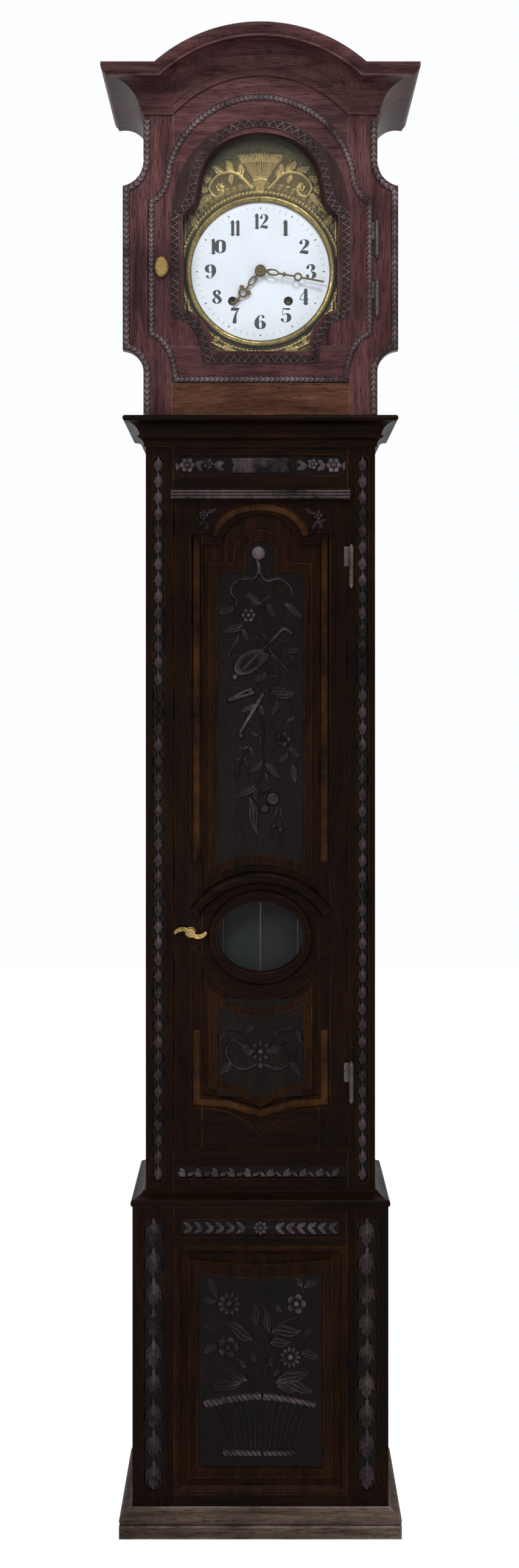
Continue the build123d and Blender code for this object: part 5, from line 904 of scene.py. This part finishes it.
chip_width = 14.0
chip_rise = 2.8
chip_shape = zigzag(12.0, chip_width, chip_rise)
sill_and_sides = np.vstack([
    [(-138.0, 2110.0), (-138.0, 1953.0)],
    arc_points(-138.0, 1879.5, 50.0, 72.5, 88, 3, 24),
    [(-88.0, 1879.5), (88.0, 1879.5)],
    arc_points(138.0, 1879.5, -50.0, 72.5, 3, 88, 24),
    [(138.0, 1953.0), (138.0, 2110.0)],
])
band("glass_zigzag", sill_and_sides, chip_width, hood_face, chip_shape, *on_door, chip_rise)
inner_edge = np.vstack([
    [(-119.0, 2104.0)],
    arc_points(-122.0, 2151.0, 26.0, -38.0, 90, 12, 18),
    arc_points(0, 2151.0, 95.0, 94.5, 176, 4, 110),
    arc_points(122.0, 2151.0, -26.0, -38.0, 12, 90, 18),
    [(119.0, 2104.0)],
])
outer_edge = np.vstack([
    [(-143.0, 2104.0), (-143.0, 2118.0)],
    arc_points(0, 2123.6, 143.0, 143.0, 178, 2, 110),
    [(143.0, 2118.0), (143.0, 2104.0)],
])


def even_steps(route, count):
    """The route's points at count equal steps along it, and their distances from its start."""
    distance = np.concatenate([[0], np.cumsum(np.hypot(*np.diff(route, axis=0).T))])
    place = np.linspace(0, distance[-1], count)
    points = [np.interp(place, distance, route[:, axis]) for axis in (0, 1)]
    return np.stack(points, axis=1), place


inner_points, inner_place = even_steps(inner_edge, 420)
outer_points = even_steps(outer_edge, 420)[0]
depth = np.hypot(*(outer_points - inner_points).T)[:, None]
share = np.linspace(0, 1, 44)[None, :] ** 1.2
from_glass = share * depth
board_x = inner_points[:, 0:1] + share * (outer_points - inner_points)[:, 0:1]
board_z = inner_points[:, 1:2] + share * (outer_points - inner_points)[:, 1:2]
cove_depth = 12.0
cove = cove_depth * np.clip(from_glass / 7.0, 0, 1) ** 0.5
from_chips = from_glass - 15.0
chips = chip_shape(inner_place[:, None] + 0 * share, from_chips) * (np.abs(from_chips) < 7.2)
board_height = cove - cove_depth + chips + 0.2
board_height[:, 0] = -13.5
board_height[:, -1] = -0.3
mesh = sheet_mesh("arch_board", board_x, hood_face - board_height, board_z, chips / chip_rise)
finished(mesh, "arch_board", hood_carved, "hood_door", "hood_oak")


# Pressed brass round the dial: a sheaf of wheat between leaf scrolls in the arch, scrolls in
# the corners, and a beaded rim with short rays, stamped in thin sheet. Its colour follows the
# height: light on the high places, a painted highlight, and nearly black in the hollows, painted
# shade.
dial_level = 2029.0
stamped = new_relief(-126.0, 126.0, 1892.5, 2247.0, wide_pitch)
for number in range(15):
    lean = (number - 7) * 3.6
    bend = (number - 7) * 1.1
    carve_stem(stamped, [(bend * 0.7, 2157), (bend, 2172), (lean * 0.8, 2196),
        (lean * 1.25, 2214)], 0.9, 1.1)
    for share in (0.0, 0.34, 0.68):
        ear_x = lean * (1.15 + 0.28 * share)
        ear_z = 2208 + 15 * share - 0.10 * abs(lean)
        carve_leaf(stamped, ear_x, ear_z, ear_x - 3.2 + 0.05 * lean, ear_z + 7, 3.4, 1.6)
        carve_leaf(stamped, ear_x, ear_z, ear_x + 3.2 + 0.05 * lean, ear_z + 7, 3.4, 1.6)
carve_rope(stamped, [(-10, 2178), (0, 2180), (10, 2178)], 2.6, 4.0)
for side in (-1, 1):
    scroll = np.array([
        (14, 2166), (40, 2190), (68, 2188), (84, 2168), (74, 2152), (60, 2160), (66, 2172)
    ])
    carve_stem(stamped, scroll * (side, 1), 3.0, 1.8)
    for foot_x, foot_z, tip_x, tip_z, width in (
        (30, 2180, 34, 2206, 13), (44, 2190, 58, 2212, 14), (60, 2190, 82, 2202, 13),
            (78, 2178, 100, 2184, 13),
        (84, 2166, 106, 2160, 12), (80, 2156, 100, 2140, 12), (50, 2188, 46, 2172, 10),
            (88, 2150, 112, 2126, 12),
    ):
        carve_leaf(stamped, side * foot_x, foot_z, side * tip_x, tip_z, width, 2.0, 3)
    carve_flower(stamped, side * 66, 2167, 8, 6, 2.0)
    for level, away in ((2116, 1), (1945, -1)):
        carve_leaf(stamped, side * 118, level + 8 * away, side * 100, level - 20 * away, 12, 2.0, 3)
    scroll = np.array([(118, 1990), (116, 1960), (100, 1932), (84, 1916), (60, 1904)])
    carve_stem(stamped, scroll * (side, 1), 2.6, 1.8)
    for foot_x, foot_z, tip_x, tip_z, width in (
        (112, 1950, 92, 1944, 11), (104, 1936, 118, 1912, 13), (92, 1924, 100, 1900, 13),
            (76, 1912, 66, 1928, 10),
        (64, 1906, 40, 1899, 11), (116, 1972, 121, 1996, 9),
    ):
        carve_leaf(stamped, side * foot_x, foot_z, side * tip_x, tip_z, width, 2.0, 3)
    carve_flower(stamped, side * 106, 1916, 9, 6, 2.2)
from_dial = np.hypot(stamped["x"], stamped["z"] - dial_level)
bearing = np.arctan2(stamped["x"], stamped["z"] - dial_level)
rim = 130
bead_place = 2.1 * ((bearing * rim / 6.4) % 1 - 0.5)
rim_beads = np.clip(1 - ((from_dial - rim) / 3.0) ** 2 - bead_place**2, 0, 1)
in_rays = (from_dial > 136) & (from_dial < 146)
rays = 0.5 * (0.5 + 0.5 * np.cos(bearing * rim / 1.6)) * in_rays
edge_rule = np.clip(1 - ((np.abs(stamped["x"]) - 123.5) / 1.2) ** 2, 0, 1) * (stamped["z"] < 2120)
stamped["height"] = np.maximum.reduce([stamped["height"], 1.6 * np.sqrt(rim_beads), rays,
    1.1 * edge_rule])
rough_ground(stamped, 31, 0.7)
stamped["height"] = np.minimum(stamped["height"], 2.6)
arch_level = 2123.6
in_arch = np.hypot(stamped["x"], stamped["z"] - arch_level) < 125
in_plate = ((stamped["z"] < arch_level) | in_arch) & (from_dial > 124.0)
# Colours by height: the nearly black hollows are painted shade, the bright high places a painted
# highlight.
hollow_shade_brass, raised_highlight_brass = (0.012, 0.009, 0.004), (0.32, 0.235, 0.085)
stamped_brass = metal("stamped_brass", hollow_shade_brass, raised_highlight_brass, 0.3, 0.2, 1.0, 26.0, 0.2, 0.8)
plate_front = -42.0
relief_piece("stamped_surround", stamped, plate_front, stamped_brass, "case", "brass", 2.2,
    in_plate)


# Figures and minute track, fired into the enamel in black. Each figure is a low relief of
# thick and thin strokes whose outline is where it rises out of the domed plate.
black_glaze, black_shader, black_tree, black_add = new_material("black_glaze")
black_place = black_add("ShaderNodeTexCoord")
black_cloud = black_add("ShaderNodeTexNoise", [(black_place, "Object", "Vector")], Scale=60.0,
    Detail=3.0)
black_tone = colour_ramp(
    black_add, [(black_cloud, "Fac", "Fac")],
        ((0.3, (0.010, 0.010, 0.012)), (0.7, (0.028, 0.028, 0.032)))
)
black_tree.links.new(black_tone.outputs[0], black_shader.inputs["Base Color"])
black_shader.inputs["Roughness"].default_value = 0.3


def enamel_face(x, z):
    """Front of the domed enamel plate: y is -46.4 at its centre, and goes back with the square
    of the distance, by 2 mm at the bezel."""
    plate_radius = 112.6
    return -46.4 + 2.0 * ((x**2 + (z - dial_level) ** 2) / plate_radius**2)


digit_strokes = {
    "0": [[(0, 10, 0.5), (-5.6, 6, 2.2), (-6.2, 0, 2.6), (-5.6, -6, 2.2), (0, -10, 0.5),
        (5.6, -6, 2.2), (6.2, 0, 2.6), (5.6, 6, 2.2), (0, 10, 0.5)]],
    "1": [[(0, 9.4, 2.0), (0, -10, 2.0)], [(-4.4, -10.4, 0.5), (4.4, -10.4, 0.5)],
        [(-4.2, 7.4, 0.5), (-1, 9.8, 0.8)]],
    "2": [[(-4.6, 5.6, 1.8), (-3.4, 9.4, 0.6), (1.2, 10.2, 0.7), (4.8, 6.4, 2.1), (3.0, 1.0, 1.6),
        (-3.0, -5.0, 0.7), (-5.6, -9.2, 0.6)],
          [(-5.2, -8.8, 1.2), (0, -8.2, 1.9), (4.4, -9.6, 1.4), (5.8, -5.6, 0.4)]],
    "3": [[(-4.6, 6.2, 1.6), (-2.6, 10.0, 0.6), (2.2, 9.6, 1.2), (4.0, 5.6, 1.9), (0.6, 0.8, 0.5),
        (4.8, -2.4, 1.6), (5.2, -6.0, 2.1), (1.6, -10.2, 0.7), (-3.0, -10.0, 0.6),
        (-5.0, -6.6, 1.7)]],
    "4": [[(2.4, 10.4, 0.6), (-6.2, -3.8, 0.6), (6.6, -3.8, 0.7)],
        [(2.6, 10.0, 1.8), (2.6, -10, 2.0)], [(-1.4, -10.4, 0.5), (6.2, -10.4, 0.5)]],
    "5": [[(5.2, 9.2, 1.1), (-3.8, 9.6, 0.9)],
        [(-3.9, 9.8, 0.5), (-4.2, 0.6, 0.5), (0.4, 2.4, 0.7), (4.8, -0.6, 1.9), (5.0, -5.6, 2.2),
        (1.4, -10.2, 0.7), (-3.2, -9.8, 0.6), (-5.0, -6.8, 1.6)]],
    "6": [[(4.2, 7.4, 1.4), (2.2, 10.2, 0.5), (-2.6, 8.4, 1.0), (-5.6, 0, 2.4), (-4.6, -7.0, 1.9),
        (0, -10.2, 0.6), (4.6, -7.0, 1.8), (4.8, -2.6, 2.0), (0.8, 1.6, 0.5), (-3.6, -1.6, 0.6)]],
    "7": [[(-5.4, 6.0, 0.4), (-4.6, 9.4, 1.3), (0.2, 8.8, 1.7), (5.6, 10.0, 0.9)],
        [(5.4, 9.6, 0.5), (0.6, 1.0, 1.1), (-1.2, -9.8, 2.2)]],
    "8": [[(0, 10.2, 0.5), (-3.8, 6.6, 1.5), (-2.4, 2.6, 1.6), (3.2, -2.0, 1.8), (4.8, -6.2, 1.7),
        (0, -10.2, 0.6), (-4.8, -6.2, 1.5), (-2.8, -1.6, 0.7), (2.4, 2.6, 0.7), (3.8, 6.6, 1.5),
        (0, 10.2, 0.5)]],
    "9": [[(-4.2, -7.4, 1.4), (-2.2, -10.2, 0.5), (2.6, -8.4, 1.0), (5.6, 0, 2.4), (4.6, 7.0, 1.9),
        (0, 10.2, 0.6), (-4.6, 7.0, 1.8), (-4.8, 2.6, 2.0), (-0.8, -1.6, 0.5), (3.6, 1.6, 0.6)]],
}


def draw_stroke(relief, points, at_x, at_z, scale):
    """A flat stroke whose half-width changes from point to point: height is 0.12 mm times
    how far inside the edge a place is, held at 0.06 mm, and negative outside."""
    route = smooth_route(points)
    for (ax, az, aw), (bx, bz, bw) in zip(route[:-1], route[1:]):
        ax, bx = at_x + ax * scale, at_x + bx * scale
        az, bz = at_z + az * scale, at_z + bz * scale
        reach = max(aw, bw) * scale + 0.8
        where, x, z = near(relief, min(ax, bx) - reach, max(ax, bx) + reach, min(az, bz) - reach,
            max(az, bz) + reach)
        length = (bx - ax) ** 2 + (bz - az) ** 2 + 1e-9
        along = np.clip(((x - ax) * (bx - ax) + (z - az) * (bz - az)) / length, 0, 1)
        width = (aw + along * (bw - aw)) * scale
        away = np.hypot(x - ax - along * (bx - ax), z - az - along * (bz - az))
        raise_to(relief, where, np.clip((width - away) * 0.3, -0.25, 0.12))


figure_ring = 82.0
for hour in range(1, 13):
    turn = radians(30 * hour)
    number_x, number_z = figure_ring * sin(turn), dial_level + figure_ring * cos(turn)
    digits = str(hour)
    paired = len(digits) == 2
    squeeze, bold = (0.86, 1.2) if paired else (1.0, 1.45)
    spacing = {"10": 11.5, "11": 8.5, "12": 11.5}.get(digits, 0.0)
    figure = new_relief(number_x - 16, number_x + 16, number_z - 13.5, number_z + 13.5, 0.4)
    figure["height"] = figure["height"] - 0.25
    for place, digit in enumerate(digits):
        for stroke in digit_strokes[digit]:
            shaped = [(px * squeeze, pz, bold * pw if pw > 1 else pw) for px, pz, pw in stroke]
            draw_stroke(figure, shaped, number_x + (place - 0.5) * spacing, number_z, 1.08)
    keep = figure["height"] > -0.24
    face = enamel_face(figure["x"], figure["z"]) - figure["height"]
    mesh = sheet_mesh("figure_" + digits, figure["x"], face, figure["z"], figure["height"], keep)
    finished(mesh, "figure_" + digits, black_glaze, "case", "enamel")

# Minute track: a fine stroke for each minute and a dot at each five, fired in the same black
# near the edge of the plate.
track_half = 110.0
track = new_relief(-track_half, track_half, dial_level - track_half, dial_level + track_half, 0.55)
from_centre = np.hypot(track["x"], track["z"] - dial_level)
minute_angle = np.arctan2(track["x"], track["z"] - dial_level) * 30 / pi
off_minute = np.abs(minute_angle - np.round(minute_angle)) * from_centre * pi / 30
tick = np.minimum(0.26 - off_minute, 3.2 - np.abs(from_centre - 103.0))
five = np.abs(minute_angle / 5 - np.round(minute_angle / 5)) * 5 * from_centre * pi / 30
dots = 1.25 - np.hypot(five, from_centre - 103.5)
inked = np.maximum(tick, dots)
track["height"] = np.clip(inked * 0.3, -0.25, 0.12)
face = enamel_face(track["x"], track["z"]) - track["height"]
mesh = sheet_mesh("minute_track", track["x"], face, track["z"], track["height"], (inked > -0.6))
finished(mesh, "minute_track", black_glaze, "case", "enamel")


# Sticking on the door frame: a rounded moulding with a thin line each side, planed on the
# step round both panels. Its ends run out beside the oval window.
def moulded_run(name, corners, width, ground, rise, body, material, finish_slot):
    """A moulding along straight runs with mitred corners. Its section is a quarter wave
    between two small beads; at a corner the section is sheared along the bisector."""
    here = np.array(corners, float)
    ahead = np.vstack([here[1:], 2 * here[-1:] - here[-2:-1]])
    behind = np.vstack([2 * here[:1] - here[1:2], here[:-1]])
    out_dir = (ahead - here) / np.linalg.norm(ahead - here, axis=1)[:, None]
    in_dir = (here - behind) / np.linalg.norm(here - behind, axis=1)[:, None]
    normal = np.stack([-(out_dir[:, 1] + in_dir[:, 1]), out_dir[:, 0] + in_dir[:, 0]], axis=1)
    normal = normal / np.linalg.norm(normal, axis=1)[:, None]
    square_on = np.stack([-out_dir[:, 1], out_dir[:, 0]], axis=1)
    shear = 1 / np.maximum(0.5, np.abs(np.sum(normal * square_on, axis=1)))
    across = np.linspace(-0.5, 0.5, 25)
    line = np.exp(-(((np.abs(across) - 0.43) / 0.035) ** 2))
    hump = (0.45 + 0.55 * np.cos(pi * across) ** 0.8) * (np.abs(across) < 0.36)
    section = rise * hump + 0.8 * rise * line
    section[[0, -1]] = -0.3
    x = here[:, 0:1] + normal[:, 0:1] * shear[:, None] * width * across
    z = here[:, 1:2] + normal[:, 1:2] * shear[:, None] * width * across
    y = ground - section[None, :] + 0 * x
    mesh = sheet_mesh(name, x, y, z, (section / rise)[None, :] + 0 * x)
    return finished(mesh, name, material, body, finish_slot)


moulded_oak = oak("moulded_oak", "z", black_brown, brown, amber, 0.32, 0.0012, 0.55)
step_half = 103.0
step_face = -77.0
stuck = (16.0, step_face, 2.4, "trunk_door", moulded_oak, "dark_oak")
arch_half = 73.3
arch_foot = 1591.0
upper_ring = np.vstack([
    [(-step_half, 1071.0), (-step_half, arch_foot), (-arch_half, arch_foot)],
    arc_points(0, arch_foot, arch_half, 51.0, 180, 0, 40),
    [(arch_half, arch_foot), (step_half, arch_foot), (step_half, 1071.0)],
])
moulded_run("upper_sticking", upper_ring, *stuck)
lower_ring = [(-step_half, 800.0), (-step_half, 684.0), (-52.0, 680.0), (0.0, 664.0)]
lower_ring += [(52.0, 680.0), (step_half, 684.0), (step_half, 800.0)]
moulded_run("lower_sticking", lower_ring, *stuck)


# Reeded lip over the trunk door: three small reeds planed in a strip of oak that lies on the
# moulding above the door's head.
def three_reeds(along, across):
    """Three round reeds side by side, each a half circle 5 mm wide."""
    share = (((across + 7.5) % 5) - 2.5) / 2.5
    return 1.6 * np.sqrt(np.clip(1 - share**2, 0, 1)) * (np.abs(across) < 7.5)


lip_route = [(-144.0, 1661.2), (144.0, 1661.2)]
lip_front = max(1000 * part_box("door_mouldings")[0][1], -89.0)
# The reeds' tops take the carved oak's pale colour through high: a painted highlight.
lip_finish = ("trunk_door", carved_oak, "dark_oak", 1.7, 2.0)
band("door_lip_reeds", lip_route, 16.0, lip_front, three_reeds, *lip_finish)
